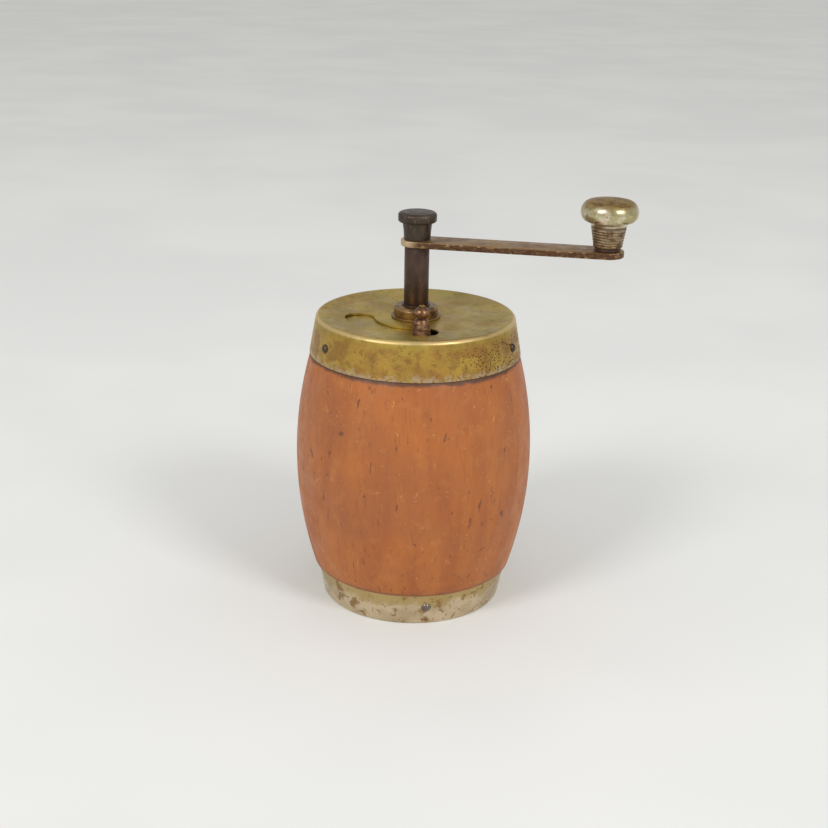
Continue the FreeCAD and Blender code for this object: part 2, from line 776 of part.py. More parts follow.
def thumb_nut():
    """The knurled nut that clamps the crank on its square."""
    chamfer = 0.7
    stud_top = S.nut_head_bottom + 1.2
    corners = [
        (S.stud_radius, ARM_TOP),
        (S.nut_foot_radius, ARM_TOP),
        (S.nut_neck_radius, S.nut_head_bottom),
        (S.nut_radius, S.nut_head_bottom + 0.3),
        (S.nut_radius, S.nut_top - chamfer),
        (S.nut_radius - chamfer, S.nut_top),
        (0, S.nut_top),
        (0, stud_top),
        (S.stud_radius, stud_top),
    ]
    return turned("thumb_nut", corners)


def knob_pin(where):
    """The pin riveted in the arm, whose inner head keeps the knob on."""
    rivet_height = 0.6
    head_top = S.knob_widest - 0.7
    head_bottom = head_top - 2.0
    corners = [
        (0, S.arm_bottom - rivet_height),
        (3.4, S.arm_bottom - rivet_height),
        (3.4, S.arm_bottom),
        (S.pin_radius, S.arm_bottom),
        (S.pin_radius, head_bottom),
        (3.4, head_bottom),
        (3.4, head_top),
        (0, head_top),
    ]
    return turned("knob_pin", corners, **where)


def crank_knob(where):
    """The turned metal grip: a tapering neck under a mushroom head."""
    shoulder_radius = 9.2
    shoulder_height = S.knob_top - 1.3
    cavity_top = S.knob_widest
    corners = [
        (S.knob_bore, S.knob_foot),
        (S.knob_foot_radius, S.knob_foot),
        (S.knob_neck_radius, S.knob_neck_height),
        (S.knob_radius - 1.2, S.knob_neck_height + 2.2, 4.2, 1),
        (S.knob_radius, S.knob_widest, 4.9, 1),
        (shoulder_radius, shoulder_height, dome_radius(shoulder_radius, S.knob_top - shoulder_height), 1),
        (0, S.knob_top),
        (0, cavity_top),
        (S.knob_bore, cavity_top),
    ]
    return turned("crank_knob", corners, **where)


# ---------------------------------------------------------------- drawer


def drawer_plank(name, x_low, x_high, y_low, y_high, z_low, z_high):
    return box(name, x_high - x_low, y_high - y_low, z_high - z_low, x=x_low, y=y_low, z=z_low)


def drawer_nails():
    """Four flush nails through the drawer's sides into its back."""
    head_height = 0.6
    half_width = S.drawer_width / 2
    nails = []
    for side in (-1, 1):
        for height in (24.5, 34.5):
            corners = [(0, -9.0), (0.6, -9.0), (0.6, -head_height), (1.3, 0), (0, 0)]
            nails.append(
                turned(
                    f"drawer_nail_{len(nails) + 1}", corners,
                    x=side * half_width, y=S.drawer_wall / 2 - S.drawer_inner_end, z=height,
                    rotation=FreeCAD.Rotation(FreeCAD.Vector(0, 1, 0), 90.0 * side),
                )
            )
    return group("drawer_nails", nails)


def drawer_knob(y):
    """The small turned brass knob, its foot let into the drawer's front."""
    head_radius = 5.0
    head_height = 7.6
    crown = 3.0
    corners = [
        (1.5, 0),
        (4.0, 0),
        (4.0, 1.2),
        (2.6, 2.4),
        (2.6, 4.2),
        (head_radius, head_height, dome_radius(head_radius, crown), 1),
        (0, head_height + crown),
        (0, 8.0),
        (1.5, 8.0),
    ]
    return turned("drawer_knob", corners, y=y, z=31.5, rotation=facing(90))


def drawer_screw():
    """The screw that holds the drawer's knob from inside."""
    length = S.barrel_radius - S.drawer_face
    inwards = facing(-90)
    return round_headed("drawer_knob_screw", 3.2, 1.8, 1.5, length, y=S.drawer_face, z=31.5, rotation=inwards)


def drawer_front(blank, seat, screw):
    """The curved front, cut from the barrel's own wall."""
    half_width = S.drawer_width / 2
    window = box(
        "drawer_window", S.drawer_width, 30.0, S.drawer_ceiling - S.drawer_floor - S.drawer_gap,
        x=-half_width, y=S.drawer_face, z=S.drawer_floor,
    )
    return cut("drawer_front", common("drawer_wall", blank, window), seat, screw)


# ---------------------------------------------------------------- assembly


def build_barrel():
    nails_above = cap_nails()
    nails_below = base_nails()
    flange_screws = burr_screws()
    bar_screws = yoke_screws()
    blank = barrel_blank()
    carved = cut("carved_wood", blank, drawer_space(), yoke_recess())
    core = cylinder("bore", S.chamber_radius, CAP_UNDERSIDE - S.drawer_ceiling, z=S.drawer_ceiling)
    shell = cut("barrel_body", carved, core, nails_above, nails_below)
    block = cut("burr_block", common("block_blank", carved, core), flange_screws, bar_screws)
    nodes = [nails_above, nails_below, flange_screws, bar_screws, shell, block]
    nodes.append(base_cup(nails_below))
    nodes.append(top_cap(nails_above))
    nodes.append(bearing_collar())
    nodes.append(ring("collar_washer", 10.2, S.spigot_radius, S.cap_height, COLLAR_WASHER_TOP))
    nodes.append(ring("shutter_washer", 10.0, S.collar_thread_radius, COLLAR_NUT_TOP, SHUTTER_WASHER_TOP))
    nodes.append(collar_nut())
    nodes.append(ring("thrust_washer", 5.8, S.shaft_radius + 0.1, S.collar_top, S.column_foot - 0.1))
    nodes.append(outer_burr(flange_screws))
    nodes.append(burr_yoke(bar_screws))
    nodes.append(lock_nut())
    return blank, nodes


def build_shutter():
    where = {
        "x": S.shutter_knob_place * cosine(S.shutter_knob_angle),
        "y": S.shutter_knob_place * sine(S.shutter_knob_angle),
    }
    rivet = shutter_rivet(where)
    return [rivet, shutter_knob(where), shutter_plate(rivet)]


def build_crank():
    where = {"x": KNOB_X, "y": KNOB_Y}
    cross_pin = burr_pin()
    shaft = spindle(cross_pin)
    grip_pin = knob_pin(where)
    nodes = [cross_pin, shaft, grip_pin, inner_burr(cross_pin), thumb_nut()]
    nodes.append(crank_arm(shaft, grip_pin))
    nodes.append(ring("knob_washer", 5.2, S.pin_radius, ARM_TOP, ARM_TOP + 1.2, **where))
    nodes.append(crank_knob(where))
    bush_bore = S.pin_radius + S.running_gap
    nodes.append(ring("knob_bush", S.knob_bore, bush_bore, S.knob_foot, S.knob_widest - 3.0, **where))
    nodes.append(thrust_ball())
    nodes.append(adjusting_screw())
    return nodes


def build_drawer(blank):
    half_width = S.drawer_width / 2
    inside = half_width - S.drawer_wall
    inner_end = -S.drawer_inner_end
    board_top = S.drawer_floor + 2.0
    nails = drawer_nails()
    screw = drawer_screw()
    knob_foot = wood_radius_at(31.5) - 0.8
    seat = cylinder("knob_seat", 4.0, 5.0, y=knob_foot, z=31.5, rotation=facing(90))
    nodes = [nails, screw, drawer_front(blank, seat, screw), drawer_knob(knob_foot)]
    nodes.append(
        drawer_plank("drawer_bottom", -inside, inside, inner_end, S.drawer_face, S.drawer_floor, board_top)
    )
    back = drawer_plank(
        "drawer_back_blank", -inside, inside, inner_end, inner_end + S.drawer_wall, board_top, S.drawer_rim
    )
    nodes.append(cut("drawer_back", back, nails))
    for name, x_low in (("left", -half_width), ("right", inside)):
        side = drawer_plank(
            f"drawer_{name}_blank", x_low, x_low + S.drawer_wall, inner_end, S.drawer_face,
            S.drawer_floor, S.drawer_rim,
        )
        nodes.append(cut(f"drawer_side_{name}", side, nails))
    return nodes


def check_and_export(nodes):
    """Stop on any failed feature or bad shape, then write one STEP file for each piece."""
    DOC.recompute()
    for thing in DOC.Objects:
        if "Invalid" in thing.State or "Error" in thing.State:
            raise RuntimeError(f"{thing.Label} failed: {thing.State}")
    os.makedirs("parts", exist_ok=True)
    for node in nodes:
        shape = node.Shape
        if shape.isNull() or not shape.isValid() or not shape.Solids:
            raise RuntimeError(f"{node.Label} has no valid solid")
        shape.exportStep(f"parts/{node.Label}.step")
        print(f"{node.Label}: {len(shape.Solids)} solid(s), {shape.Volume:.1f} mm3")


barrel_wood, pieces = build_barrel()
pieces += build_shutter()
pieces += build_crank()
pieces += build_drawer(barrel_wood)
check_and_export(pieces)
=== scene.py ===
# %% [markdown]
# # A barrel-shaped coffee mill
# This lesson dresses a hand coffee mill: a turned wooden barrel between two drawn sheet metal caps, with a
# spindle, a flat crank and a turned metal knob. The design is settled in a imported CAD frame. We load it and
# build each visible piece as a finer mesh with the surface of the real material.

# %% Load the frame
import math

import bmesh
import bpy
from mathutils import Matrix, Vector


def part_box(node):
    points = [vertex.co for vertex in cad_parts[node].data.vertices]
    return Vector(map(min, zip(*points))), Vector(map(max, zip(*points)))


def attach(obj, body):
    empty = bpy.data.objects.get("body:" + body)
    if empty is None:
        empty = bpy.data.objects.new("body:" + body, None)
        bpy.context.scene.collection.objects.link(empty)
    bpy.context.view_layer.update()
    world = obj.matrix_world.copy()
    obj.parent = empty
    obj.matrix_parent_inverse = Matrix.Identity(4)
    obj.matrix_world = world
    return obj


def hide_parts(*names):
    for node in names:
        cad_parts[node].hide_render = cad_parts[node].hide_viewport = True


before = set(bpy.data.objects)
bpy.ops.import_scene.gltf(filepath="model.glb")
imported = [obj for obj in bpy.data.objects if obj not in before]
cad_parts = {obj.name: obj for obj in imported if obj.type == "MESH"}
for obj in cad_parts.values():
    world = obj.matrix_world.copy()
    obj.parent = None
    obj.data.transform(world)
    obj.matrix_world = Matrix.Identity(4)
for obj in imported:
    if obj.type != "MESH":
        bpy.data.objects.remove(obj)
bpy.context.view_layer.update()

# %% [markdown]
# ## Sizes
# Lengths in this lesson are in millimetres, as on a maker's drawing, and turn into Blender's metres in one
# place. Each main size is read from the frame, so the pieces always fit the design.

# %% Main sizes, read from the frame
MM = 0.001


def extent(node):
    """A node's lowest and highest corner in millimetres."""
    low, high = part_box(node)
    return Vector(low) / MM, Vector(high) / MM


def bottom_of(node):
    return extent(node)[0].z


def top_of(node):
    return extent(node)[1].z


def radius_of(node):
    """Half a round node's width, whichever way it is widest."""
    low, high = extent(node)
    return max(high.x - low.x, high.y - low.y) / 2


def middle_of(node):
    """Where a node's upright axis stands."""
    low, high = extent(node)
    return Vector(((low.x + high.x) / 2, (low.y + high.y) / 2, 0))


SHEET = 0.8
CAP_TOP = top_of("top_cap")
CAP_FLAT = bottom_of("collar_washer")
CAP_RIM = bottom_of("top_cap")
CAP_RIM_RADIUS = radius_of("top_cap")
CAP_TOP_RADIUS = 41.9
BASE_TOP = top_of("base_cup")
GRIP_AXIS = middle_of("crank_knob")
CRANK_ANGLE = math.atan2(GRIP_AXIS.y, GRIP_AXIS.x)
print(f"cap at {CAP_TOP:.1f} mm, crank {GRIP_AXIS.length:.1f} mm long")

# %% [markdown]
# ## Working tools
# Turned pieces are spun from half an outline, as on a lathe. The spin closes on itself, the points on the
# axis are merged, and only then are the normals turned outwards.

# %% Turning


def arc(centre, radius, start, end, steps=8):
    """Points along an arc in an outline; the angles are in degrees."""
    points = []
    for step in range(steps + 1):
        angle = math.radians(start + (end - start) * step / steps)
        points.append((centre[0] + radius * math.cos(angle), centre[1] + radius * math.sin(angle)))
    return points


def turn(outline, steps=128, closed=True):
    """Spin an outline of (radius, height) corners round the upright axis into a closed mesh."""
    mesh = bmesh.new()
    corners = [mesh.verts.new((radius * MM, 0, height * MM)) for radius, height in outline]
    pairs = list(zip(corners, corners[1:]))
    if closed:
        pairs.append((corners[-1], corners[0]))
    edges = [mesh.edges.new(pair) for pair in pairs]
    bmesh.ops.spin(
        mesh, geom=corners + edges, cent=(0, 0, 0), axis=(0, 0, 1),
        angle=math.tau, steps=steps, use_merge=True,
    )
    bmesh.ops.remove_doubles(mesh, verts=mesh.verts, dist=0.001 * MM)
    bmesh.ops.recalc_face_normals(mesh, faces=mesh.faces)
    return mesh


print("a quarter circle in 8 steps has", len(arc((0, 0), 1.0, 0, 90)), "points")

# %% [markdown]
# Flat pieces start as a block. Sharp corners are then broken with a small bevel, because a real edge always
# catches a line of light.

# %% Blocks and broken edges


def block(low, high):
    """A rectangular solid between two corners."""
    mesh = bmesh.new()
    bmesh.ops.create_cube(mesh, size=1.0)
    size = (Vector(high) - Vector(low)) * MM
    centre = (Vector(high) + Vector(low)) * MM / 2
    bmesh.ops.scale(mesh, vec=size, verts=mesh.verts)
    bmesh.ops.translate(mesh, vec=centre, verts=mesh.verts)
    return mesh


def break_edges(mesh, width, segments=2, sharper_than=35.0):
    """Bevel every edge whose faces meet at more than this many degrees."""
    limit = math.radians(sharper_than)
    edges = [edge for edge in mesh.edges if len(edge.link_faces) == 2 and edge.calc_face_angle(0) > limit]
    bmesh.ops.bevel(
        mesh, geom=edges, offset=width * MM, segments=segments, profile=0.5,
        affect="EDGES", clamp_overlap=True, material=-1,
    )


sample = block((0, 0, 0), (10.0, 10.0, 10.0))
print(f"a 10 mm block holds {sample.calc_volume() / MM**3:.0f} mm3")
sample.free()

# %% [markdown]
# Windows and slots are cut with a Boolean that is applied at once, so the finished mesh has no live
# modifiers. Its loose corners are merged afterwards.

# %% Cutting


def as_object(mesh, name):
    data = bpy.data.meshes.new(name)
    mesh.to_mesh(data)
    mesh.free()
    thing = bpy.data.objects.new(name, data)
    bpy.context.scene.collection.objects.link(thing)
    return thing


def cut_away(mesh, cutters):
    """Take the cutters out of a closed mesh, one after another."""
    base = as_object(mesh, "work_in_hand")
    tools = [as_object(cutter, f"cutter_{number}") for number, cutter in enumerate(cutters)]
    for tool in tools:
        step = base.modifiers.new(tool.name, "BOOLEAN")
        step.operation = "DIFFERENCE"
        step.solver = "EXACT"
        step.object = tool
    depsgraph = bpy.context.evaluated_depsgraph_get()
    carved = bpy.data.meshes.new_from_object(base.evaluated_get(depsgraph))
    result = bmesh.new()
    result.from_mesh(carved)
    for thing in [base, *tools]:
        bpy.data.objects.remove(thing)
    bmesh.ops.remove_doubles(result, verts=result.verts, dist=0.001 * MM)
    return result


# %% [markdown]
# A piece is made at the origin and then moved or turned as a mesh, never as an object, so its place stays
# in the mesh. Equal fasteners are joined into one mesh.

# %% Placing


def move(mesh, place):
    bmesh.ops.translate(mesh, vec=Vector(place) * MM, verts=mesh.verts)
    return mesh


def swing(mesh, degrees, axis="Z"):
    spin = Matrix.Rotation(math.radians(degrees), 3, axis)
    bmesh.ops.rotate(mesh, cent=(0, 0, 0), matrix=spin, verts=mesh.verts)
    return mesh


def join(meshes):
    """Several meshes as one, for a group of equal fasteners."""
    whole = bmesh.new()
    for mesh in meshes:
        data = bpy.data.meshes.new("part_of_group")
        mesh.to_mesh(data)
        mesh.free()
        whole.from_mesh(data)
        bpy.data.meshes.remove(data)
    return whole


# %% [markdown]
# Each finished mesh is shaded smooth between its creases, gets its material, and is handed to the frame: it
# hangs under its body's empty, and the design nodes it stands for are hidden.

# %% Handing over a piece


def finish_piece(mesh, name, body, material, nodes, crease=38.0):
    """Shade the mesh smooth between its creases and hand it to the frame in place of its CAD nodes."""
    for face in mesh.faces:
        face.smooth = True
    for edge in mesh.edges:
        edge.smooth = len(edge.link_faces) == 2 and edge.calc_face_angle(0) < math.radians(crease)
    closed = all(edge.is_manifold for edge in mesh.edges)
    volume = mesh.calc_volume(signed=True) / MM**3
    print(f"{name}: {len(mesh.faces)} faces, {volume:.0f} mm3, {'closed' if closed else 'open'}")
    piece = as_object(mesh, name)
    piece.data.materials.append(material)
    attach(piece, body)
    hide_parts(*nodes)
    return piece


# %% [markdown]
# ## Surfaces
# Old household metal and wood are never one colour. Each finish starts from the clean material and adds what
# time did to it: stain, wear, pits and grime, each at its real size. The patterns read Object coordinates, so
# they stay fixed to the pieces as they move. First come a colour and the one small function that adds a node.

# %% Adding nodes
MIX_FACTOR, MIX_A, MIX_B, MIX_COLOUR = 0, 6, 7, 2


def paint(code):
    """An sRGB hex colour as the linear colour that a shader expects."""
    channels = [int(code[start:start + 2], 16) / 255 for start in (1, 3, 5)]
    linear = [c / 12.92 if c <= 0.04045 else ((c + 0.055) / 1.055) ** 2.4 for c in channels]
    return (*linear, 1.0)


def add(tree, kind, links=None, output=0, **settings):
    """Add one node, fill its inputs with values or other nodes' outputs, and give back an output."""
    node = tree.nodes.new("ShaderNode" + kind)
    for name, value in settings.items():
        setattr(node, name, value)
    for socket, source in (links or {}).items():
        if isinstance(source, bpy.types.NodeSocket):
            tree.links.new(source, node.inputs[socket])
        else:
            node.inputs[socket].default_value = source
    return node.outputs[output] if node.outputs else None


print("brass as linear colour:", [round(channel, 3) for channel in paint("#b69c4a")])

# %% [markdown]
# A finish begins with empty nodes and the Object coordinates, and ends with its shader. Numbers that are the
# same all over a surface are typed into the shader itself, because an exported model keeps only those.

# %% Beginning and ending a finish


def new_finish(name):
    """An empty material: the material, its node tree and its Object coordinates."""
    material = bpy.data.materials.new(name)
    material.use_nodes = True
    tree = material.node_tree
    tree.nodes.clear()
    return material, tree, add(tree, "TexCoord", output="Object")


def coat(tree, relief, depth, **sockets):
    """Close a finish: bump the relief depth millimetres high, and feed the shader and the output."""
    bump = add(tree, "Bump", {"Height": relief, "Distance": depth * MM, "Strength": 1.0})
    links = {name.replace("_", " "): source for name, source in sockets.items()}
    shader = add(tree, "BsdfPrincipled", {"Normal": bump, **links})
    add(tree, "OutputMaterial", {"Surface": shader})
    print("a finish of", len(tree.nodes), "nodes")


# %% [markdown]
# Dirt and wear come in soft clouds, in patches with a clear border, and in bands with a ragged border. Each
# of these takes two or three nodes, so each gets its own small recipe. All sizes are in millimetres.

# %% Recipes for wear


def scale_for(size):
    """The Scale of a noise whose features are about size millimetres across."""
    return 1 / (size * MM)


def clouds(tree, place, size, seed, low, high, start=0.0, end=1.0, detail=5.0, distortion=0.0):
    """Soft clouds: the part of a noise between low and high, spread over start to end."""
    noise = add(tree, "TexNoise", {
        "Vector": place, "W": seed, "Scale": scale_for(size), "Detail": detail, "Distortion": distortion,
    }, noise_dimensions="4D")
    return add(tree, "MapRange", {
        "Value": noise, "From Min": low, "From Max": high, "To Min": start, "To Max": end,
    }, interpolation_type="SMOOTHSTEP")


def patches(tree, place, size, level, seed, soft=0.04, **settings):
    """A mask of irregular patches: a higher level leaves fewer of them."""
    return clouds(tree, place, size, seed, level - soft, level + soft, **settings)


def over(tree, under, colour, mask, strength=1.0):
    """Lay a colour over another where the mask is, at a strength."""
    amount = add(tree, "Math", {0: mask, 1: strength}, operation="MULTIPLY")
    bottom = paint(under) if isinstance(under, str) else under
    links = {MIX_FACTOR: amount, MIX_A: bottom, MIX_B: paint(colour)}
    return add(tree, "Mix", links, output=MIX_COLOUR, data_type="RGBA")


def distance_along(tree, place, axis):
    """The place along X, Y or Z in millimetres."""
    metres = add(tree, "SeparateXYZ", {0: place}, output=axis)
    return add(tree, "Math", {0: metres, 1: MM}, operation="DIVIDE")


def border(tree, value, ragged, low, high):
    """A mask that sets in where a value passes from low to high, with a ragged amount added to it."""
    uneven = add(tree, "Math", {0: value, 1: ragged}, operation="ADD")
    return add(tree, "MapRange", {
        "Value": uneven, "From Min": low, "From Max": high,
    }, interpolation_type="SMOOTHSTEP")


def ragged_by(tree, place, size, seed, amount, detail=5.0):
    """A noise that reaches amount millimetres, to shift a border with."""
    noise = add(tree, "TexNoise", {
        "Vector": place, "W": seed, "Scale": scale_for(size), "Detail": detail,
    }, noise_dimensions="4D")
    return add(tree, "Math", {0: noise, 1: amount}, operation="MULTIPLY")


def dented(tree, place, size, seed, marks, rise, detail=3.0):
    """The broad unevenness of a surface, with marks raised or sunk in it."""
    swell = add(tree, "TexNoise", {
        "Vector": place, "W": seed, "Scale": scale_for(size), "Detail": detail,
    }, noise_dimensions="4D")
    return add(tree, "Math", {0: marks, 1: rise, 2: swell}, operation="MULTIPLY_ADD")


def grained_coat(tree, place, grain, seed, depth, **sockets):
    """Close a finish whose only relief is a fine grain."""
    skin = add(tree, "TexNoise", {
        "Vector": place, "W": seed, "Scale": scale_for(grain), "Detail": 5.0,
    }, noise_dimensions="4D")
    coat(tree, skin, depth, **sockets)


def stripe(tree, value, middle, outer, inner, outside=0.0, inside=1.0):
    """A mask along the line where a value is at middle, fading from inner to outer away from it."""
    off = add(tree, "Math", {0: value, 1: middle}, operation="SUBTRACT")
    off = add(tree, "Math", {0: off}, operation="ABSOLUTE")
    return add(tree, "MapRange", {
        "Value": off, "From Min": outer, "From Max": inner, "To Min": outside, "To Max": inside,
    }, interpolation_type="SMOOTHSTEP")


print("a 5 mm cloud has a noise scale of", round(scale_for(5.0)))

# %% [markdown]
# ### Stained beech
# The barrel is a close-grained hardwood, turned, stained orange-brown and thinly varnished. The grain runs up
# the barrel in long streaks about 9 mm apart with short dark flecks. Handling has left pale scratches and
# dents. Grease has darkened the wood over the base, and under the cap the dark band is grease and painted
# shade together. Squeezing the coordinates along Z makes a pattern run long that way, which turns clouds into
# grain.

# %% Stained beech


def scratch_lines(tree, place):
    """Thin wandering lines, where a slow noise passes through its middle, kept only in patches."""
    squeezed = add(tree, "Mapping", {"Vector": place, "Scale": (1, 1, 0.5)})
    noise = add(tree, "TexNoise", {
        "Vector": squeezed, "W": 8.0, "Scale": scale_for(7.0), "Detail": 2.0, "Distortion": 1.6,
    }, noise_dimensions="4D")
    thin = stripe(tree, noise, 0.5, 0.007, 0.0)
    sparse = patches(tree, place, 10.0, 0.49, 7.0, soft=0.05)
    return add(tree, "Math", {0: thin, 1: sparse}, operation="MULTIPLY")


def stained_beech():
    material, tree, place = new_finish("stained_beech")
    grain = add(tree, "Mapping", {"Vector": place, "Scale": (1, 1, 0.16)})
    fine_grain = add(tree, "Mapping", {"Vector": place, "Scale": (1, 1, 0.12)})
    fleck_place = add(tree, "Mapping", {"Vector": place, "Scale": (1, 1, 0.35)})
    streaks = clouds(tree, grain, 9.0, 1.0, 0.38, 0.64, detail=6.0, distortion=0.4)
    colour = over(tree, "#a96025", "#965023", streaks, 0.7)
    colour = over(tree, colour, "#b86e30", patches(tree, grain, 16.0, 0.56, 2.0, soft=0.1), 0.4)
    colour = over(tree, colour, "#8c5030", patches(tree, place, 26.0, 0.56, 3.0, soft=0.12), 0.35)
    hair = add(tree, "TexNoise", {
        "Vector": fine_grain, "W": 4.0, "Scale": scale_for(1.1), "Detail": 3.0,
    }, noise_dimensions="4D")
    hair_lines = add(tree, "MapRange", {
        "Value": hair, "From Min": 0.52, "From Max": 0.72,
    }, interpolation_type="SMOOTHSTEP")
    colour = over(tree, colour, "#7c4224", hair_lines, 0.35)
    flecks = patches(tree, fleck_place, 2.6, 0.66, 5.0, soft=0.03, distortion=0.8)
    colour = over(tree, colour, "#5e3420", flecks, 0.75)
    rubbed = patches(tree, place, 6.0, 0.60, 6.0, soft=0.07, distortion=0.5)
    colour = over(tree, colour, "#bc7a3a", rubbed, 0.2)
    scratches = scratch_lines(tree, place)
    colour = over(tree, colour, "#d8924c", scratches, 0.65)
    height = distance_along(tree, place, "Z")
    ragged = ragged_by(tree, place, 5.0, 9.0, 2.6)
    # Under the cap's rim the wood is painted dark: grease, plus painted shade where the cap overhangs it.
    grease_and_shade_under_cap = border(tree, height, ragged, CAP_RIM - 1.0, CAP_RIM + 0.6)
    colour = over(tree, colour, "#402618", grease_and_shade_under_cap, 0.85)
    lowered = add(tree, "Math", {0: ragged, 1: -1.0}, operation="MULTIPLY")
    over_base = border(tree, height, lowered, BASE_TOP + 0.6, BASE_TOP - 1.6)
    colour = over(tree, colour, "#6a4028", over_base, 0.7)
    relief = dented(tree, place, 6.0, 11.0, flecks, -0.35)
    for mark, rise in ((scratches, -0.25), (hair, 0.18)):
        relief = add(tree, "Math", {0: mark, 1: rise, 2: relief}, operation="MULTIPLY_ADD")
    roughness = clouds(tree, place, 8.0, 10.0, 0.3, 0.7, 0.40, 0.60)
    coat(tree, relief, 0.35, Base_Color=colour, Roughness=roughness, IOR=1.5)
    return material


BEECH = stained_beech()

# %% [markdown]
# ### Plain wood
# The drawer's box is plain, unstained wood, paler than the barrel and dusted brown by the coffee. Its
# boards are planed, so it is dull and only the streaks of the grain stand up a little.

# %% Plain wood


def plain_wood():
    material, tree, place = new_finish("plain_wood")
    grain = add(tree, "Mapping", {"Vector": place, "Scale": (1, 0.1, 1)})
    streaks = add(tree, "TexNoise", {
        "Vector": grain, "W": 1.0, "Scale": scale_for(5.0), "Detail": 6.0, "Distortion": 0.3,
    }, noise_dimensions="4D")
    shades = add(tree, "MapRange", {
        "Value": streaks, "From Min": 0.38, "From Max": 0.64,
    }, interpolation_type="SMOOTHSTEP")
    colour = over(tree, "#b58d5f", "#94693f", shades)
    colour = over(tree, colour, "#5c3c22", patches(tree, place, 7.0, 0.56, 2.0, soft=0.1), 0.6)
    roughness = add(tree, "MapRange", {
        "Value": streaks, "From Min": 0.3, "From Max": 0.7, "To Min": 0.6, "To Max": 0.8,
    }, interpolation_type="SMOOTHSTEP")
    coat(tree, streaks, 0.15, Base_Color=colour, Roughness=roughness, IOR=1.5)
    return material


PLAIN_WOOD = plain_wood()

# %% [markdown]
# ### Brassed sheet
# The cap is drawn steel sheet with a thin coat of brass. The coat has dulled to olive, browned in blotches,
# and pitted with small dark specks under a millimetre across, most of all on the right of the band. Along the
# lower rim the brass has chipped down to the grey-beige nickel under it. The rounded upper edge is rubbed
# bright, and a painted highlight runs along it too. The distance from the spindle's axis tells the upright
# band from the flat top.

# %% Brassed sheet


def brassed_sheet():
    material, tree, place = new_finish("brassed_sheet")
    height = distance_along(tree, place, "Z")
    flat_place = add(tree, "VectorMath", {0: place, 1: (1, 1, 0)}, operation="MULTIPLY")
    reach = add(tree, "VectorMath", {0: flat_place}, output="Value", operation="LENGTH")
    radius = add(tree, "Math", {0: reach, 1: MM}, operation="DIVIDE")
    band = add(tree, "MapRange", {
        "Value": radius, "From Min": CAP_TOP_RADIUS - 0.3, "From Max": CAP_TOP_RADIUS + 0.4,
    }, interpolation_type="SMOOTHSTEP")
    colour = over(tree, "#b69c4a", "#a48440", clouds(tree, place, 14.0, 1.0, 0.38, 0.62))
    colour = over(tree, colour, "#968a40", patches(tree, place, 20.0, 0.54, 2.0, soft=0.1), 0.45)
    colour = over(tree, colour, "#c09248", band, 0.35)
    brown = patches(tree, place, 7.0, 0.50, 3.0, soft=0.07, distortion=0.5)
    brown_band = add(tree, "Math", {0: brown, 1: band}, operation="MULTIPLY")
    colour = over(tree, colour, "#94683c", brown_band, 0.62)
    colour = over(tree, colour, "#7e6638", patches(tree, place, 2.2, 0.60, 4.0, soft=0.06), 0.5)
    ragged = ragged_by(tree, place, 4.5, 5.0, 9.0, detail=7.0)
    low = border(tree, height, ragged, CAP_RIM + 7.2, CAP_RIM + 5.0)
    chips = patches(tree, place, 1.6, 0.44, 11.0, soft=0.06)
    chipped = add(tree, "Math", {0: low, 1: chips}, operation="MULTIPLY")
    colour = over(tree, colour, "#b8a284", chipped, 0.8)
    side = distance_along(tree, place, "X")
    right = border(tree, side, ragged_by(tree, place, 9.0, 7.0, 40.0), 28.0, 52.0)
    spread = add(tree, "Math", {0: right, 1: 0.8, 2: 0.32}, operation="MULTIPLY_ADD")
    pits = patches(tree, place, 0.8, 0.57, 6.0)
    for limit in (spread, band):
        pits = add(tree, "Math", {0: pits, 1: limit}, operation="MULTIPLY")
    colour = over(tree, colour, "#54401f", pits, 0.85)
    # The rounded upper edge: rubbed bright brass, with a painted highlight along the same stripe.
    high = add(tree, "MapRange", {
        "Value": height, "From Min": CAP_TOP - 1.8, "From Max": CAP_TOP - 0.9,
    }, interpolation_type="SMOOTHSTEP")
    rubbed = stripe(tree, radius, CAP_TOP_RADIUS - 0.75, 1.0, 0.3)
    rubbed = add(tree, "Math", {0: rubbed, 1: high}, operation="MULTIPLY")
    colour = over(tree, colour, "#dcc08c", rubbed, 0.7)
    dull = add(tree, "Math", {0: brown, 1: 0.3, 2: pits}, operation="MULTIPLY_ADD")
    worn = clouds(tree, place, 7.0, 8.0, 0.3, 0.7, 0.30, 0.46, detail=6.0)
    roughness = add(tree, "Math", {0: dull, 1: 0.2, 2: worn}, operation="MULTIPLY_ADD")
    relief = dented(tree, place, 16.0, 9.0, pits, -0.12)
    skin = ragged_by(tree, place, 1.2, 10.0, 0.03)
    relief = add(tree, "Math", {0: relief, 1: skin}, operation="ADD")
    coat(tree, relief, 0.6, Base_Color=colour, Metallic=0.9, Roughness=roughness)
    return material


BRASSED = brassed_sheet()

# %% [markdown]
# ### Nickelled sheet
# The base cup is the same sheet with more of its nickel left: grey-beige, with yellow-brown stains that creep
# down from the upper rim and a few rust spots.

# %% Nickelled sheet


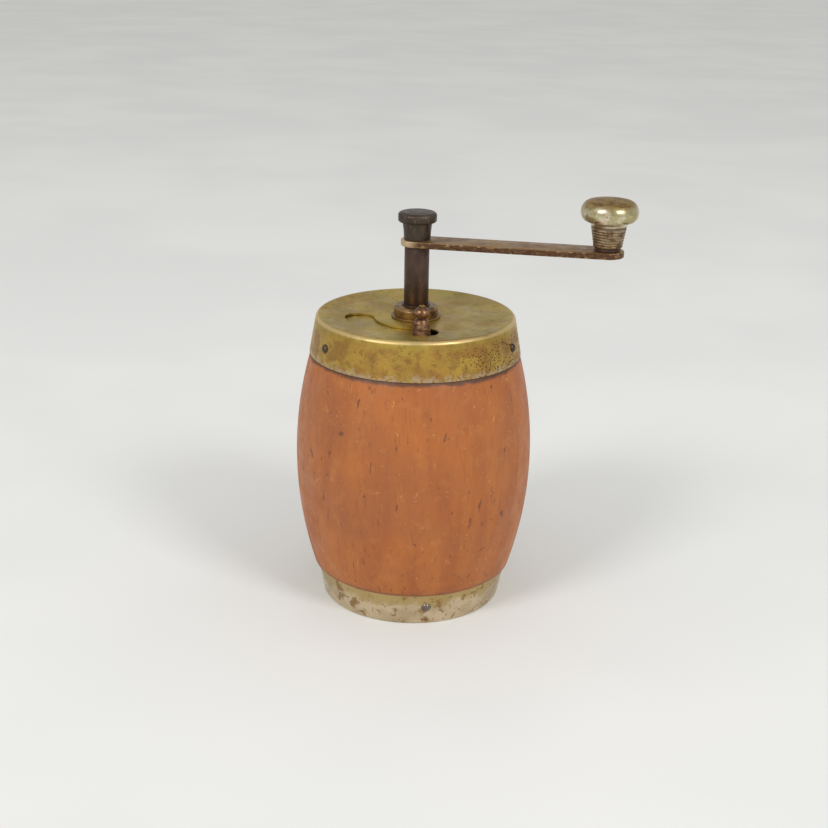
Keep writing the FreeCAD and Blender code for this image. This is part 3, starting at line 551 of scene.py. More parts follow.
def nickelled_sheet():
    material, tree, place = new_finish("nickelled_sheet")
    height = distance_along(tree, place, "Z")
    stained = border(tree, height, ragged_by(tree, place, 6.0, 1.0, 14.0, detail=6.0), 14.5, 18.5)
    colour = over(tree, "#d2c0a2", "#bca888", clouds(tree, place, 11.0, 2.0, 0.4, 0.62))
    colour = over(tree, colour, "#b09654", stained, 0.7)
    stains = patches(tree, place, 4.6, 0.60, 3.0, soft=0.05, distortion=0.6)
    colour = over(tree, colour, "#8e6c3c", stains, 0.85)
    spots = patches(tree, place, 1.3, 0.65, 4.0)
    colour = over(tree, colour, "#5c4426", spots, 0.8)
    relief = dented(tree, place, 13.0, 6.0, spots, -0.1)
    roughness = clouds(tree, place, 5.0, 5.0, 0.3, 0.7, 0.26, 0.44, detail=6.0)
    coat(tree, relief, 0.5, Base_Color=colour, Metallic=0.9, Roughness=roughness)
    return material


NICKELLED = nickelled_sheet()

# %% [markdown]
# ### Darkened steel
# The spindle and the nut are bare steel, browned by decades of hands and coffee. The skin is dark with a
# dull shine, redder in places, and scuffed brighter where it is touched.

# %% Darkened steel


def darkened_steel(name, dark, warm, scuff, roughest):
    material, tree, place = new_finish(name)
    runs = add(tree, "Mapping", {"Vector": place, "Scale": (1, 1, 0.4)})
    colour = over(tree, dark, warm, clouds(tree, runs, 4.0, 1.0, 0.42, 0.64))
    colour = over(tree, colour, scuff, patches(tree, runs, 1.2, 0.62, 2.0, soft=0.05), 0.45)
    roughness = clouds(tree, place, 2.5, 3.0, 0.3, 0.7, roughest - 0.16, roughest)
    grained_coat(tree, place, 0.9, 4.0, 0.05, Base_Color=colour, Metallic=0.8, Roughness=roughness)
    return material


SPINDLE_STEEL = darkened_steel("browned_spindle_steel", "#4a3a32", "#58443a", "#645446", 0.50)
NUT_STEEL = darkened_steel("browned_nut_steel", "#443a32", "#50443a", "#6c6052", 0.50)
TACK_STEEL = darkened_steel("browned_tack_steel", "#4a3c30", "#604a34", "#94826a", 0.42)
BASE_TACK_STEEL = darkened_steel("rubbed_tack_steel", "#7a7068", "#6a5c50", "#b8b0a8", 0.34)

# %% [markdown]
# ### Coppery bronze
# The bearing and the shutter's knob are turned from a red bronze that has gone nut-brown, with a lighter
# copper gleam in fine turned rings.

# %% Coppery bronze


def coppery_bronze(name, body_colour, gleam, dark):
    material, tree, place = new_finish(name)
    rings = add(tree, "Mapping", {"Vector": place, "Scale": (0.3, 0.3, 1)})
    colour = over(tree, body_colour, dark, clouds(tree, place, 3.5, 1.0, 0.42, 0.62))
    colour = over(tree, colour, gleam, patches(tree, rings, 1.0, 0.57, 2.0, soft=0.06), 0.5)
    roughness = clouds(tree, place, 2.0, 3.0, 0.3, 0.7, 0.30, 0.46)
    grained_coat(tree, rings, 0.7, 4.0, 0.03, Base_Color=colour, Metallic=0.85, Roughness=roughness)
    return material


BEARING_BRONZE = coppery_bronze("coppery_bearing_bronze", "#8c6e46", "#a88c5a", "#62482e")
SHUTTER_BRONZE = coppery_bronze("coppery_shutter_bronze", "#845e44", "#b89468", "#604232")
RIVET_BRASS = coppery_bronze("rubbed_rivet_brass", "#c09448", "#d8b468", "#8a6430")
KNOB_BRASS = coppery_bronze("tarnished_knob_brass", "#a87e40", "#c49c58", "#74542c")

# %% [markdown]
# ### Worn plated bar
# The crank is a rolled steel bar whose brass-coloured plating still covers the flat faces. Along the narrow
# edges it has flaked off, which leaves a speckle of bright plating, brown rust and bare steel. The
# surface's own direction tells the flat faces from the narrow ones. The end beside the spindle is rubbed
# pale.

# %% Worn plated bar


def plated_bar():
    material, tree, place = new_finish("worn_plated_bar")
    along = add(tree, "Mapping", {"Vector": place, "Scale": (0.35, 1, 1)})
    colour = over(tree, "#987a54", "#84603e", clouds(tree, along, 7.0, 1.0, 0.42, 0.62))
    colour = over(tree, colour, "#5c3c28", patches(tree, along, 5.0, 0.56, 2.0, soft=0.07), 0.6)
    facing = add(tree, "NewGeometry", output="True Normal")
    upright = add(tree, "SeparateXYZ", {0: facing}, output="Z")
    narrow = stripe(tree, upright, 0.0, 0.85, 0.35)
    flaked = patches(tree, along, 1.5, 0.40, 3.0, soft=0.05, detail=7.0)
    flaked_edge = add(tree, "Math", {0: narrow, 1: flaked}, operation="MULTIPLY")
    colour = over(tree, colour, "#4c3022", flaked_edge, 0.85)
    bar_middle = (bottom_of("crank_arm") + top_of("crank_arm")) / 2
    height = distance_along(tree, place, "Z")
    bright = patches(tree, along, 0.6, 0.56, 4.0, detail=7.0)
    for limit in (stripe(tree, height, bar_middle, 1.15, 0.6, 1.0, 0.15), narrow):
        bright = add(tree, "Math", {0: bright, 1: limit}, operation="MULTIPLY")
    colour = over(tree, colour, "#ccb082", bright, 0.75)
    side = distance_along(tree, place, "X")
    rubbed_end = add(tree, "MapRange", {
        "Value": side, "From Min": 1.0, "From Max": -4.5,
    }, interpolation_type="SMOOTHSTEP")
    colour = over(tree, colour, "#d0b692", rubbed_end, 0.8)
    relief = dented(tree, along, 1.2, 6.0, flaked_edge, -0.6, detail=5.0)
    roughness = clouds(tree, place, 3.0, 5.0, 0.3, 0.7, 0.34, 0.54)
    coat(tree, relief, 0.08, Base_Color=colour, Metallic=0.85, Roughness=roughness)
    return material


PLATED_BAR = plated_bar()

# %% [markdown]
# ### Worn nickel
# The turned grip is nickel over brass. The nickel is left on the head's side, the crown has worn through to
# a yellow-brown in fine turned rings, and the neck's grooves hold dark grime. The grime follows a value
# stored on the mesh where the outline dips into a groove. A dark speckled line runs round under the head.

# %% Worn nickel


def worn_nickel():
    material, tree, place = new_finish("worn_nickel")
    height = distance_along(tree, place, "Z")
    grip_low, grip_top = bottom_of("crank_knob"), top_of("crank_knob")
    colour = over(tree, "#d4c8ae", "#b4a684", clouds(tree, place, 5.0, 1.0, 0.42, 0.62))
    colour = over(tree, colour, "#989052", patches(tree, place, 7.0, 0.53, 2.0, soft=0.07), 0.6)
    ringed = add(tree, "Mapping", {"Vector": place, "Scale": (0.2, 0.2, 1)})
    crown = border(tree, height, ragged_by(tree, ringed, 1.0, 3.0, 3.0), grip_top - 1.9, grip_top + 0.6)
    colour = over(tree, colour, "#8e6e30", crown, 0.9)
    neck = add(tree, "MapRange", {
        "Value": height, "From Min": grip_low + 8.6, "From Max": grip_low + 7.0,
    }, interpolation_type="SMOOTHSTEP")
    belly = stripe(tree, height, grip_top - 7.9, 0.8, 0.2)
    crown_rings = patches(tree, ringed, 0.8, 0.54, 4.0, soft=0.08)
    crown_marks = add(tree, "Math", {0: crown, 1: crown_rings}, operation="MULTIPLY")
    colour = over(tree, colour, "#6e4a30", crown_marks, 0.8)
    grime = add(tree, "Attribute", output="Fac", attribute_name="grime")
    colour = over(tree, colour, "#4a3220", grime, 0.95)
    colour = over(tree, colour, "#7e6648", neck, 0.7)
    neck_stains = patches(tree, place, 2.4, 0.55, 8.0, soft=0.06)
    neck_marks = add(tree, "Math", {0: neck, 1: neck_stains}, operation="MULTIPLY")
    colour = over(tree, colour, "#5c4024", neck_marks, 0.8)
    squeezed = add(tree, "Mapping", {"Vector": place, "Scale": (0.5, 0.5, 1.6)})
    belly_specks = patches(tree, squeezed, 1.0, 0.55, 9.0, soft=0.05)
    belly_line = add(tree, "Math", {0: belly, 1: belly_specks}, operation="MULTIPLY")
    colour = over(tree, colour, "#5a4026", belly_line, 0.85)
    colour = over(tree, colour, "#4e3a22", patches(tree, place, 1.0, 0.64, 5.0), 0.7)
    dull = add(tree, "Math", {0: grime, 1: crown}, operation="MAXIMUM")
    shine = clouds(tree, place, 3.0, 6.0, 0.3, 0.7, 0.18, 0.34)
    roughness = add(tree, "Math", {0: dull, 1: 0.22, 2: shine}, operation="MULTIPLY_ADD")
    grained_coat(tree, ringed, 0.6, 7.0, 0.02, Base_Color=colour, Metallic=0.9, Roughness=roughness)
    return material


WORN_NICKEL = worn_nickel()

# %% [markdown]
# ### Plain steel and cast iron
# Inside, the screws and nuts are plain grey steel, and the burrs are cast iron with a sandy skin, its grains
# about 0.6 mm across. Both are dulled by coffee oil.

# %% Plain steel and cast iron


def plain_metal(name, light, dark, grain, roughest):
    material, tree, place = new_finish(name)
    colour = over(tree, light, dark, clouds(tree, place, 3.0, 1.0, 0.4, 0.62))
    colour = over(tree, colour, "#4c3626", patches(tree, place, 5.0, 0.57, 2.0, soft=0.08), 0.5)
    roughness = clouds(tree, place, grain, 3.0, 0.3, 0.7, roughest - 0.15, roughest)
    grained_coat(tree, place, grain, 4.0, 0.05, Base_Color=colour, Metallic=0.9, Roughness=roughness)
    return material


PLAIN_STEEL = plain_metal("plain_steel", "#8c8680", "#6c6660", 1.0, 0.45)
CAST_IRON = plain_metal("cast_iron", "#625c56", "#4a4540", 0.6, 0.62)

# %% [markdown]
# ## The barrel
# The barrel is turned from one block. Its side is a single long arc, rebated at both ends for the sheet metal
# caps. We spin the outline, then cut the drawer's space from the back, as a maker would after turning.

# %% Barrel
BARREL_RADIUS = radius_of("barrel_body")
BULGE_HEIGHT = 63.5
CURVE_RADIUS = 164.0


def wood_radius(height):
    rise = height - BULGE_HEIGHT
    return BARREL_RADIUS - CURVE_RADIUS + math.sqrt(CURVE_RADIUS**2 - rise**2)


def barrel_side(low, high, steps):
    """Points up the barrel's side between two heights."""
    heights = [low + (high - low) * step / steps for step in range(steps + 1)]
    return [(wood_radius(height), height) for height in heights]


def barrel_outline():
    wood_low, wood_high = bottom_of("barrel_body"), top_of("barrel_body")
    base_radius, base_rim = 37.5, 40.4
    cap_inner, cap_inner_top = CAP_RIM_RADIUS - SHEET - 0.05, 41.1
    chamber = 34.0
    ledge, flange, hole = 28.5, 26.0, 21.0
    ceiling = bottom_of("burr_yoke")
    side = barrel_side(BASE_TOP + 0.25, CAP_RIM - 0.25, 36)
    return [
        (0, wood_low), (base_radius, wood_low), (base_rim, BASE_TOP),
        (side[0][0] - 0.3, BASE_TOP), *side, (side[-1][0] - 0.3, CAP_RIM),
        (cap_inner, CAP_RIM), (cap_inner_top, wood_high), (chamber, wood_high),
        (chamber, 96.9), *arc((17.18, 99.31), 16.0, -8.7, -45, 8), (ledge, 88.0),
        (flange, 88.0), (flange, 84.0), (hole, 84.0), (hole, ceiling), (0, ceiling),
    ]


def drawer_space():
    low, high = extent("drawer_side_left")[0], extent("drawer_side_right")[1]
    gap = 0.4
    ceiling = bottom_of("burr_yoke")
    return block((low.x - gap, low.y - 1.0, low.z - gap), (high.x + gap, 60.0, ceiling))


yoke_low, yoke_high = extent("burr_yoke")
wood = turn(barrel_outline(), steps=160, closed=False)
wood = cut_away(wood, [drawer_space(), block(yoke_low, yoke_high)])
finish_piece(wood, "turned_barrel", "barrel", BEECH, ["barrel_body", "burr_block"])

# %% [markdown]
# ## The cap
# The cap is one sheet, drawn down over the barrel's end. Its upper edge is round, its side leans in, and its
# top sinks like a shallow saucer, which stiffens the sheet and keeps beans from rolling off. The fill slot is
# a curved opening round the spindle. It is punched, so we cut it after spinning and ease its edges.

# %% Cap
SLOT_INNER, SLOT_OUTER = 17.4, 29.6
SLOT_START, SLOT_END = -172.5, -82.0
SPIGOT_RADIUS = 6.35
FLAT_RADIUS = 20.0
CAP_LEAN = math.degrees(math.atan2(CAP_RIM_RADIUS - CAP_TOP_RADIUS, CAP_TOP - CAP_RIM))


def cap_outline():
    """Up the outer side, over the round edge, down into the dish, and back along the inside."""
    edge_round, over_top = 1.9, 98.5
    bead = (CAP_TOP_RADIUS - edge_round * 1.12, CAP_TOP - edge_round)
    outer = arc(bead, edge_round, CAP_LEAN, over_top, 12)
    inner = arc(bead, edge_round - SHEET, over_top, CAP_LEAN, 8)
    crown, crown_height = outer[-1]
    bowl = []
    for step in range(1, 13):
        share = 1 - step / 12
        radius = FLAT_RADIUS + (crown - FLAT_RADIUS) * share
        bowl.append((radius, CAP_FLAT + (crown_height - CAP_FLAT) * share**2.2))
    bowl_under = [(radius, height - SHEET) for radius, height in reversed(bowl[1:])]
    rim = [
        (CAP_RIM_RADIUS - SHEET, CAP_RIM), (CAP_RIM_RADIUS - 0.1, CAP_RIM), (CAP_RIM_RADIUS, CAP_RIM + 0.12),
    ]
    return [
        *rim, *outer, *bowl, (SPIGOT_RADIUS, CAP_FLAT), (SPIGOT_RADIUS, CAP_FLAT - SHEET), *bowl_under, *inner
    ]


def slot_cutters():
    """The curved middle of the slot and its two round ends, as three solids."""
    low, high = CAP_FLAT - 3.0, CAP_FLAT + 3.0
    middle = bmesh.new()
    section = [(SLOT_INNER, low), (SLOT_OUTER, low), (SLOT_OUTER, high), (SLOT_INNER, high)]
    face = middle.faces.new([middle.verts.new((r * MM, 0, z * MM)) for r, z in section])
    sweep = math.radians(SLOT_END - SLOT_START)
    bmesh.ops.spin(middle, geom=[face], cent=(0, 0, 0), axis=(0, 0, 1), angle=sweep, steps=40)
    bmesh.ops.recalc_face_normals(middle, faces=middle.faces)
    cutters = [swing(middle, SLOT_START)]
    for angle in (SLOT_START, SLOT_END):
        end = bmesh.new()
        radius = (SLOT_OUTER - SLOT_INNER) / 2
        bmesh.ops.create_cone(
            end, cap_ends=True, segments=48, radius1=radius * MM, radius2=radius * MM, depth=(high - low) * MM
        )
        move(end, ((SLOT_OUTER + SLOT_INNER) / 2, 0, (high + low) / 2))
        cutters.append(swing(end, angle))
    return cutters


cap = cut_away(turn(cap_outline(), steps=192), slot_cutters())
punched = [
    edge for edge in cap.edges
    if len(edge.link_faces) == 2 and edge.calc_face_angle(0) > 1.0
    and all(14.0 * MM < corner.co.xy.length < 31.5 * MM for corner in edge.verts)
    and all(corner.co.z > (CAP_FLAT - 0.1) * MM for corner in edge.verts)
]
bmesh.ops.bevel(
    cap, geom=punched, offset=0.2 * MM, segments=2, profile=0.5,
    affect="EDGES", clamp_overlap=True, material=-1,
)
print(f"{len(punched)} edges of the slot rounded")
finish_piece(cap, "drawn_cap", "barrel", BRASSED, ["top_cap"])

# %% [markdown]
# ## The base cup
# A second, smaller drawing closes the barrel's foot. Its bottom corner is round too.

# %% Base cup


def base_outline():
    foot, rim = radius_of("base_cup") - 2.9, radius_of("base_cup")
    corner = 0.9
    lean = math.degrees(math.atan2(rim - foot, BASE_TOP))
    outer = arc((foot - corner + 0.2, corner), corner, -90, -lean, 6)
    return [
        (0, 0), *outer, (rim, BASE_TOP - 0.12), (rim - 0.1, BASE_TOP), (rim - SHEET, BASE_TOP),
        (foot - SHEET, SHEET), (0, SHEET),
    ]


base = turn(base_outline(), steps=160, closed=False)
finish_piece(base, "drawn_base", "barrel", NICKELLED, ["base_cup"])

# %% [markdown]
# ## Tacks
# Three round-headed tacks hold each sheet, driven square to its lean. One tack is turned, then copied round.

# %% Tacks


def tack(head_radius, head_height):
    """A domed head on a short shank, its head standing on height 0 and pointing up."""
    dome = (head_radius**2 + head_height**2) / (2 * head_height)
    reach = math.degrees(math.asin(head_radius / dome))
    crown = arc((0, head_height - dome), dome, 90 - reach, 90, 8)
    crown[-1] = (0, head_height)
    return turn([(0, -8.0), (0.8, -8.0), (0.8, 0), (head_radius - 0.1, 0), *crown], steps=32, closed=False)


def tacks_round(radius, height, lean, angles, head_radius, head_height):
    tacks = []
    for angle in angles:
        mesh = swing(tack(head_radius, head_height), 90.0 - lean, "Y")
        move(mesh, (radius, 0, height))
        tacks.append(swing(mesh, angle))
    return join(tacks)


BASE_LEAN = -11.2
cap_tacks = tacks_round(43.04, 115.3, CAP_LEAN, (-147.5, -23.0, 95.0), 1.95, 1.25)
finish_piece(cap_tacks, "cap_tacks", "barrel", TACK_STEEL, ["cap_nails"])
base_tacks = tacks_round(39.9, 8.1, BASE_LEAN, (-80.4, 39.6, 159.6), 2.0, 1.25)
finish_piece(base_tacks, "base_tacks", "barrel", BASE_TACK_STEEL, ["base_nails"])

# %% [markdown]
# ## Bearing and washers
# The spindle runs in a turned bearing that clamps the cap between a collar above and a nut below. A wide
# washer spreads the load on the sheet, and a thin one lies under the spindle's column.

# %% Bearing and washers


def washer(node, hole):
    low, high = bottom_of(node), top_of(node)
    mesh = turn([(hole, low), (radius_of(node), low), (radius_of(node), high), (hole, high)], steps=96)
    break_edges(mesh, 0.15)
    return mesh


collar_top, collar_low = top_of("bearing_collar"), top_of("collar_washer")
collar_radius = radius_of("bearing_collar")
thread_low, spigot_low = bottom_of("bearing_collar"), top_of("shutter_washer")
bearing = turn([
    (4.05, thread_low), (5.6, thread_low), (5.6, spigot_low), (6.3, spigot_low), (6.3, collar_low),
    (collar_radius, collar_low), (collar_radius, collar_top - 1.2), (collar_radius - 1.0, collar_top - 0.1),
    (collar_radius - 2.0, collar_top), (4.05, collar_top),
], steps=96)
break_edges(bearing, 0.12)
finish_piece(bearing, "turned_bearing", "barrel", BEARING_BRONZE, ["bearing_collar"])
wide_washer = washer("collar_washer", 6.3)
finish_piece(wide_washer, "bearing_washer", "barrel", BEARING_BRONZE, ["collar_washer"])
thin_washer = washer("thrust_washer", 4.1)
finish_piece(thin_washer, "foot_washer", "barrel", SPINDLE_STEEL, ["thrust_washer"])

# %% [markdown]
# ## Spindle and thumb nut
# The spindle's column stands over the cap and carries the crank. The nut on top has a narrow neck and a flat,
# knurled head. Long use has rounded the knurl, so it is cut shallow.

# %% Spindle and nut
column_foot, arm_low, arm_high = top_of("thrust_washer") + 0.1, bottom_of("crank_arm"), top_of("crank_arm")
column = 5.1
spindle = turn([
    (0, bottom_of("spindle")), (4.0, bottom_of("spindle")), (4.0, column_foot), (column, column_foot),
    (column, arm_low), (3.4, arm_low), (3.4, arm_high), (3.0, arm_high), (3.0, top_of("spindle")),
    (0, top_of("spindle")),
], steps=64, closed=False)
break_edges(spindle, 0.15)
finish_piece(spindle, "spindle_column", "crank", SPINDLE_STEEL, ["spindle"])


def knurled_nut():
    head, top = radius_of("thumb_nut"), top_of("thumb_nut")
    head_low = 163.0
    notches = 44
    outline = [
        (3.0, arm_high), (5.4, arm_high), (5.65, 159.5), (6.05, head_low - 0.2), (head - 0.5, head_low + 0.1),
        (head, head_low + 0.6), (head, top - 0.9), (head - 0.55, top - 0.25), (head - 1.3, top), (0, top),
        (0, head_low + 1.2), (3.0, head_low + 1.2),
    ]
    mesh = turn(outline, steps=notches * 4)
    for corner in mesh.verts:
        flat = Vector((corner.co.x, corner.co.y))
        if flat.length > (head - 0.7) * MM:
            depth = 0.08 * (0.5 + 0.5 * math.cos(notches * math.atan2(flat.y, flat.x)))
            flat *= 1 - depth * MM / flat.length
            corner.co.x, corner.co.y = flat
    return mesh


finish_piece(knurled_nut(), "knurled_nut", "crank", NUT_STEEL, ["thumb_nut"], crease=50.0)

# %% [markdown]
# ## Crank
# The crank is a flat bar with two round ends. A disc is stretched into the bar's outline and pulled up to its
# thickness, and its long edges are eased as on rolled bar.

# %% Crank


def crank_bar():
    width, length = 13.4, GRIP_AXIS.length
    mesh = bmesh.new()
    segments = 64
    bmesh.ops.create_circle(mesh, cap_ends=True, segments=segments, radius=width / 2 * MM)
    swing(mesh, 180.0 / segments)
    far = [corner for corner in mesh.verts if corner.co.x > 0]
    bmesh.ops.translate(mesh, vec=(length * MM, 0, 0), verts=far)
    long_edges = [edge for edge in mesh.edges if edge.calc_length() > length / 2 * MM]
    bmesh.ops.subdivide_edges(mesh, edges=long_edges, cuts=24, use_grid_fill=True)
    raised = bmesh.ops.extrude_face_region(mesh, geom=mesh.faces[:])
    upper = [item for item in raised["geom"] if isinstance(item, bmesh.types.BMVert)]
    bmesh.ops.translate(mesh, vec=(0, 0, (arm_high - arm_low) * MM), verts=upper)
    bmesh.ops.recalc_face_normals(mesh, faces=mesh.faces)
    break_edges(mesh, 0.45, segments=3, sharper_than=60.0)
    move(mesh, (0, 0, arm_low))
    return swing(mesh, math.degrees(CRANK_ANGLE))


finish_piece(crank_bar(), "flat_crank", "crank", PLATED_BAR, ["crank_arm"])

# %% [markdown]
# ## Grip
# The grip is turned metal: a tapering neck with fine beads under a mushroom head. It spins on a pin whose
# lower end is riveted under the crank, over a thin washer.

# %% Grip
GRIP_LOW, GRIP_TOP, GRIP_RADIUS = bottom_of("crank_knob"), top_of("crank_knob"), radius_of("crank_knob")
GRIP_WIDEST = GRIP_TOP - 5.3
BEAD_PITCH, BEADS, BEAD_DEPTH = 1.12, 6, 0.22
BEADS_LOW = GRIP_LOW + 1.1
BEADS_TOP = BEADS_LOW + BEADS * BEAD_PITCH


def grip_outline():
    """Up the beaded neck, round the mushroom head to the crown, and down inside the bore."""
    neck = [(4.0, GRIP_LOW), (5.5, GRIP_LOW), (5.85, GRIP_LOW + 0.35), (5.88, GRIP_LOW + 0.9)]
    for bead in range(BEADS):
        for step in range(6):
            share = (bead + step / 6) / BEADS
            radius = 5.95 + 1.15 * share - BEAD_DEPTH * abs(math.cos(math.pi * step / 6)) ** 3
            neck.append((radius, BEADS_LOW + share * BEADS * BEAD_PITCH))
    throat = [(radius, BEADS_TOP + rise) for radius, rise in (
        (6.95, 0.3), (7.1, 0.8), (7.35, 1.3), (7.75, 1.8), (8.3, 2.25), (8.95, 2.65), (9.5, 3.1),
    )]
    cheek = arc((6.8, GRIP_WIDEST), GRIP_RADIUS - 6.8, -46, 66, 16)
    crown_start = cheek[-1]
    rise = GRIP_TOP - crown_start[1]
    crown_radius = (crown_start[0] ** 2 + rise**2) / (2 * rise)
    reach = math.degrees(math.asin(crown_start[0] / crown_radius))
    crown = arc((0, GRIP_TOP - crown_radius), crown_radius, 90 - reach, 90, 14)
    crown[-1] = (0, GRIP_TOP)
    return [*neck, *throat, *cheek, *crown[1:], (0, GRIP_WIDEST), (4.0, GRIP_WIDEST)]


def turned_grip():
    mesh = turn(grip_outline(), steps=96)
    grime = mesh.verts.layers.float.new("grime")
    for corner in mesh.verts:
        height = corner.co.z / MM
        if height < BEADS_LOW:
            corner[grime] = 0.75
        elif height < BEADS_TOP + 0.1:
            valley = abs(math.cos(math.pi * (height - BEADS_LOW) / BEAD_PITCH)) ** 3
            corner[grime] = 0.9 * valley
        elif height < BEADS_TOP + 1.2:
            corner[grime] = 0.85
    return move(mesh, GRIP_AXIS)


finish_piece(turned_grip(), "turned_grip", "grip", WORN_NICKEL, ["crank_knob"], crease=60.0)

pin_low, pin_top = bottom_of("knob_pin"), top_of("knob_pin")
pin = turn([
    (0, pin_low), (2.2, pin_low), (3.1, pin_low + 0.25), (3.4, arm_low), (2.5, arm_low), (2.5, pin_top - 2.0),
    (3.4, pin_top - 2.0), (3.4, pin_top), (0, pin_top),
], steps=48, closed=False)
finish_piece(move(pin, GRIP_AXIS), "grip_pin", "crank", PLATED_BAR, ["knob_pin"])
finish_piece(
    move(washer("knob_washer", 2.5), GRIP_AXIS), "grip_washer", "crank", SPINDLE_STEEL,
    ["knob_washer"],
)

# %% [markdown]
# ## Shutter knob
# A small turned knob rides in the slot: a tapering foot, a thin neck and a ball, held by a brass rivet whose
# end shows on top.

# %% Shutter knob
SHUTTER_AXIS = middle_of("shutter_knob")
foot_low, ball_top = bottom_of("shutter_knob"), top_of("shutter_knob")
ball = 3.2
ball_centre = ball_top - math.sqrt(ball**2 - 1.2**2)
round_ball = arc((0, ball_centre), ball, -52, 68, 14)
flattened = [(radius * 0.97, ball_centre + (height - ball_centre) * 0.85) for radius, height in round_ball]
shutter_grip = turn([
    (1.2, foot_low), (3.75, foot_low), (3.9, foot_low + 0.3), (3.75, foot_low + 1.0),
    (3.2, ball_top - 8.0), (2.7, ball_top - 5.9), (2.45, ball_top - 5.5), (2.1, ball_top - 5.35),
    *flattened, (1.2, ball_top),
], steps=64)
finish_piece(
    move(shutter_grip, SHUTTER_AXIS), "shutter_grip", "shutter", SHUTTER_BRONZE,
    ["shutter_knob"],
)
rivet_low, rivet_top = bottom_of("shutter_rivet"), top_of("shutter_rivet")
rivet = turn([
    (0, rivet_low), (1.8, rivet_low), (2.2, rivet_low + 0.3), (2.2, rivet_low + 0.6), (1.2, rivet_low + 0.6),
    (1.2, ball_top - 0.05), (0.9, rivet_top - 0.08), (0.45, rivet_top), (0, rivet_top),
], steps=32, closed=False)
finish_piece(
    move(rivet, SHUTTER_AXIS), "shutter_stem", "shutter", RIVET_BRASS, ["shutter_rivet"]
)

# %% [markdown]
# ## Drawer
# The drawer's front is cut from the barrel's own wall, so its face carries on the barrel's curve. We spin the
# same side again as a solid and keep only what lies inside the drawer's window, with its corners eased. The
# box behind is thin boards.

# %% Drawer


def drawer_face():
    low, high = extent("drawer_front")
    far = 70
    solid = turn([(0, 5.0), *barrel_side(5.0, 60.0, 48), (0, 60.0)], steps=320, closed=False)
    cutters = [
        ((-far, -far, 0), (far, low.y, far)), ((-far, -far, 0), (low.x, far, far)),
        ((high.x, -far, 0), (far, far, far)), ((-far, -far, 0), (far, far, low.z)),
        ((-far, -far, high.z), (far, far, far)),
    ]
    mesh = cut_away(solid, [block(*corners) for corners in cutters])
    break_edges(mesh, 0.35, segments=2, sharper_than=50.0)
    return mesh


finish_piece(drawer_face(), "drawer_face", "drawer", BEECH, ["drawer_front"])

for board in ("drawer_side_left", "drawer_side_right", "drawer_back", "drawer_bottom"):
    plank = block(*extent(board))
    break_edges(plank, 0.3)
    finish_piece(plank, f"{board}_board", "drawer", PLAIN_WOOD, [board])

knob_start, knob_end = extent("drawer_knob")[0].y, extent("drawer_knob")[1].y
knob_height = (bottom_of("drawer_knob") + top_of("drawer_knob")) / 2
pull = turn([
    (1.5, 0), (3.9, 0), (4.0, 0.9), (3.6, 1.5), (2.8, 2.2), (2.5, 3.2), (2.7, 4.4), (3.6, 5.6), (4.8, 6.9),
    (5.0, 7.7), (4.7, 8.7), (3.6, 9.8), (1.9, 10.45), (0, 10.6), (0, 8.0), (1.5, 8.0),
], steps=64)
swing(pull, -90.0, "X")
move(pull, (0, knob_start, knob_height))
finish_piece(pull, "drawer_pull", "drawer", KNOB_BRASS, ["drawer_knob"])

# %% [markdown]
# ## Hidden pieces
# The burrs, the yoke, the screws and the shutter's sheet keep their CAD shapes and only need a surface.

# %% Surfaces for the CAD nodes
PLAIN_NODES = (
    "shutter_washer", "collar_nut", "burr_screws", "burr_pin", "burr_yoke", "yoke_screws", "lock_nut",
    "adjusting_screw", "thrust_ball", "drawer_nails", "drawer_knob_screw",
)
CARRIED_OVER = {
    "shutter_plate": BRASSED, "outer_burr": CAST_IRON, "inner_burr": CAST_IRON, "knob_bush": RIVET_BRASS,
    **{node_name: PLAIN_STEEL for node_name in PLAIN_NODES},
}
for node_name, finish in CARRIED_OVER.items():
    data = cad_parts[node_name].data
    data.materials.clear()
    data.materials.append(finish)
print(f"{len(CARRIED_OVER)} nodes keep their CAD shape")

# %% [markdown]
# ## Table
# The mill stands on a plain pale cloth, whose weave is too fine to see but takes the shine off.

# %% Floor


def pale_floor():
    material, tree, place = new_finish("pale_cloth")
    colour = over(tree, "#e9e9e7", "#e4e5e3", clouds(tree, place, 180.0, 1.0, 0.35, 0.65, detail=2.0))
    grained_coat(tree, place, 1.0, 2.0, 0.02, Base_Color=colour, Roughness=0.9)
    return material


floor_mesh = bmesh.new()
bmesh.ops.create_grid(floor_mesh, x_segments=1, y_segments=1, size=6.0)
floor = as_object(floor_mesh, "pale_table")
floor.data.materials.append(pale_floor())
print("floor:", floor.name)

# %% [markdown]
# ## Light
# Two large soft lamps stand in front, left and right, so that round metal shows two soft highlights. A pale
# surrounding fills the shadows.

# %% Lights


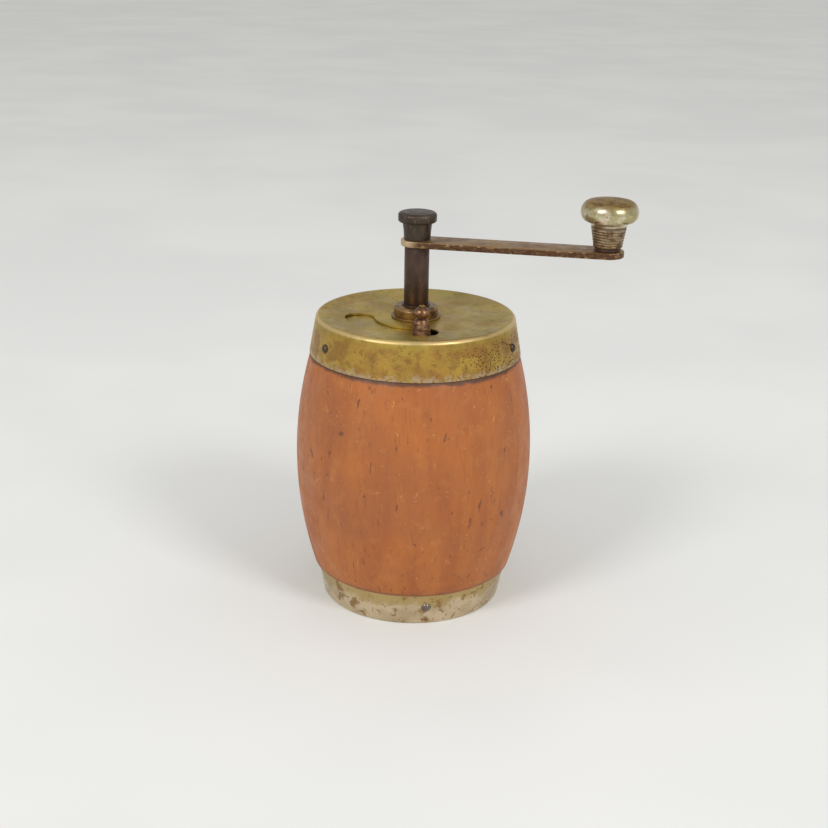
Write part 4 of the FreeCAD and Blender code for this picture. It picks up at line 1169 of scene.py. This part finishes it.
def soft_lamp(name, place, target, size, power, colour):
    light = bpy.data.lights.new(name, "AREA")
    light.shape = "RECTANGLE"
    light.size, light.size_y = size
    light.energy = power
    light.color = paint(colour)[:3]
    lamp = bpy.data.objects.new(name, light)
    lamp.location = place
    lamp.rotation_euler = (Vector(target) - Vector(place)).to_track_quat("-Z", "Y").to_euler()
    bpy.context.scene.collection.objects.link(lamp)


LAMP_AIM, LAMP_SIZE, LAMP_WATTS = (0, 0, 0.08), (0.6, 0.6), 15.0
soft_lamp("left_lamp", (-1.15, -1.25, 1.35), LAMP_AIM, LAMP_SIZE, LAMP_WATTS, "#ffffff")
soft_lamp("right_lamp", (1.15, -1.25, 1.35), LAMP_AIM, LAMP_SIZE, LAMP_WATTS, "#ffffff")
world = bpy.data.worlds.new("pale_room")
world.use_nodes = True
world.node_tree.nodes["Background"].inputs["Color"].default_value = paint("#f4f4f2")
world.node_tree.nodes["Background"].inputs["Strength"].default_value = 0.72
bpy.context.scene.world = world
bpy.context.scene.view_settings.view_transform = "Standard"
print(f"two lamps of {LAMP_WATTS} W")

# %% [markdown]
# ## Camera
# The camera looks down at the mill by 20 degrees from a little over half a metre, and is tipped by one
# degree, as a camera held by hand is.

# %% Camera
PITCH, ROLL = math.radians(19.93), math.radians(1.05)
forward = Vector((0, math.cos(PITCH), -math.sin(PITCH)))
side = forward.cross(Vector((0, 0, 1))).normalized()
upward = side.cross(forward)
right = side * math.cos(ROLL) + upward * math.sin(ROLL)
up = upward * math.cos(ROLL) - side * math.sin(ROLL)
lens = bpy.data.cameras.new("camera")
lens.lens = 60.9
lens.sensor_width = 36.0
camera = bpy.data.objects.new("camera", lens)
axes = Matrix((right, up, -forward)).transposed()
CAMERA_PLACE = (0, -0.56196, 0.28355)
camera.matrix_world = Matrix.Translation(CAMERA_PLACE) @ axes.to_4x4()
bpy.context.scene.collection.objects.link(camera)
bpy.context.scene.camera = camera
print(f"camera {lens.lens} mm, pitched {math.degrees(PITCH):.1f} degrees down")

# %% [markdown]
# ## Last step
# The finish must not change the mill's size. At the end the view layer is brought up to date.

# %% Bring the scene up to date
bpy.context.view_layer.update()
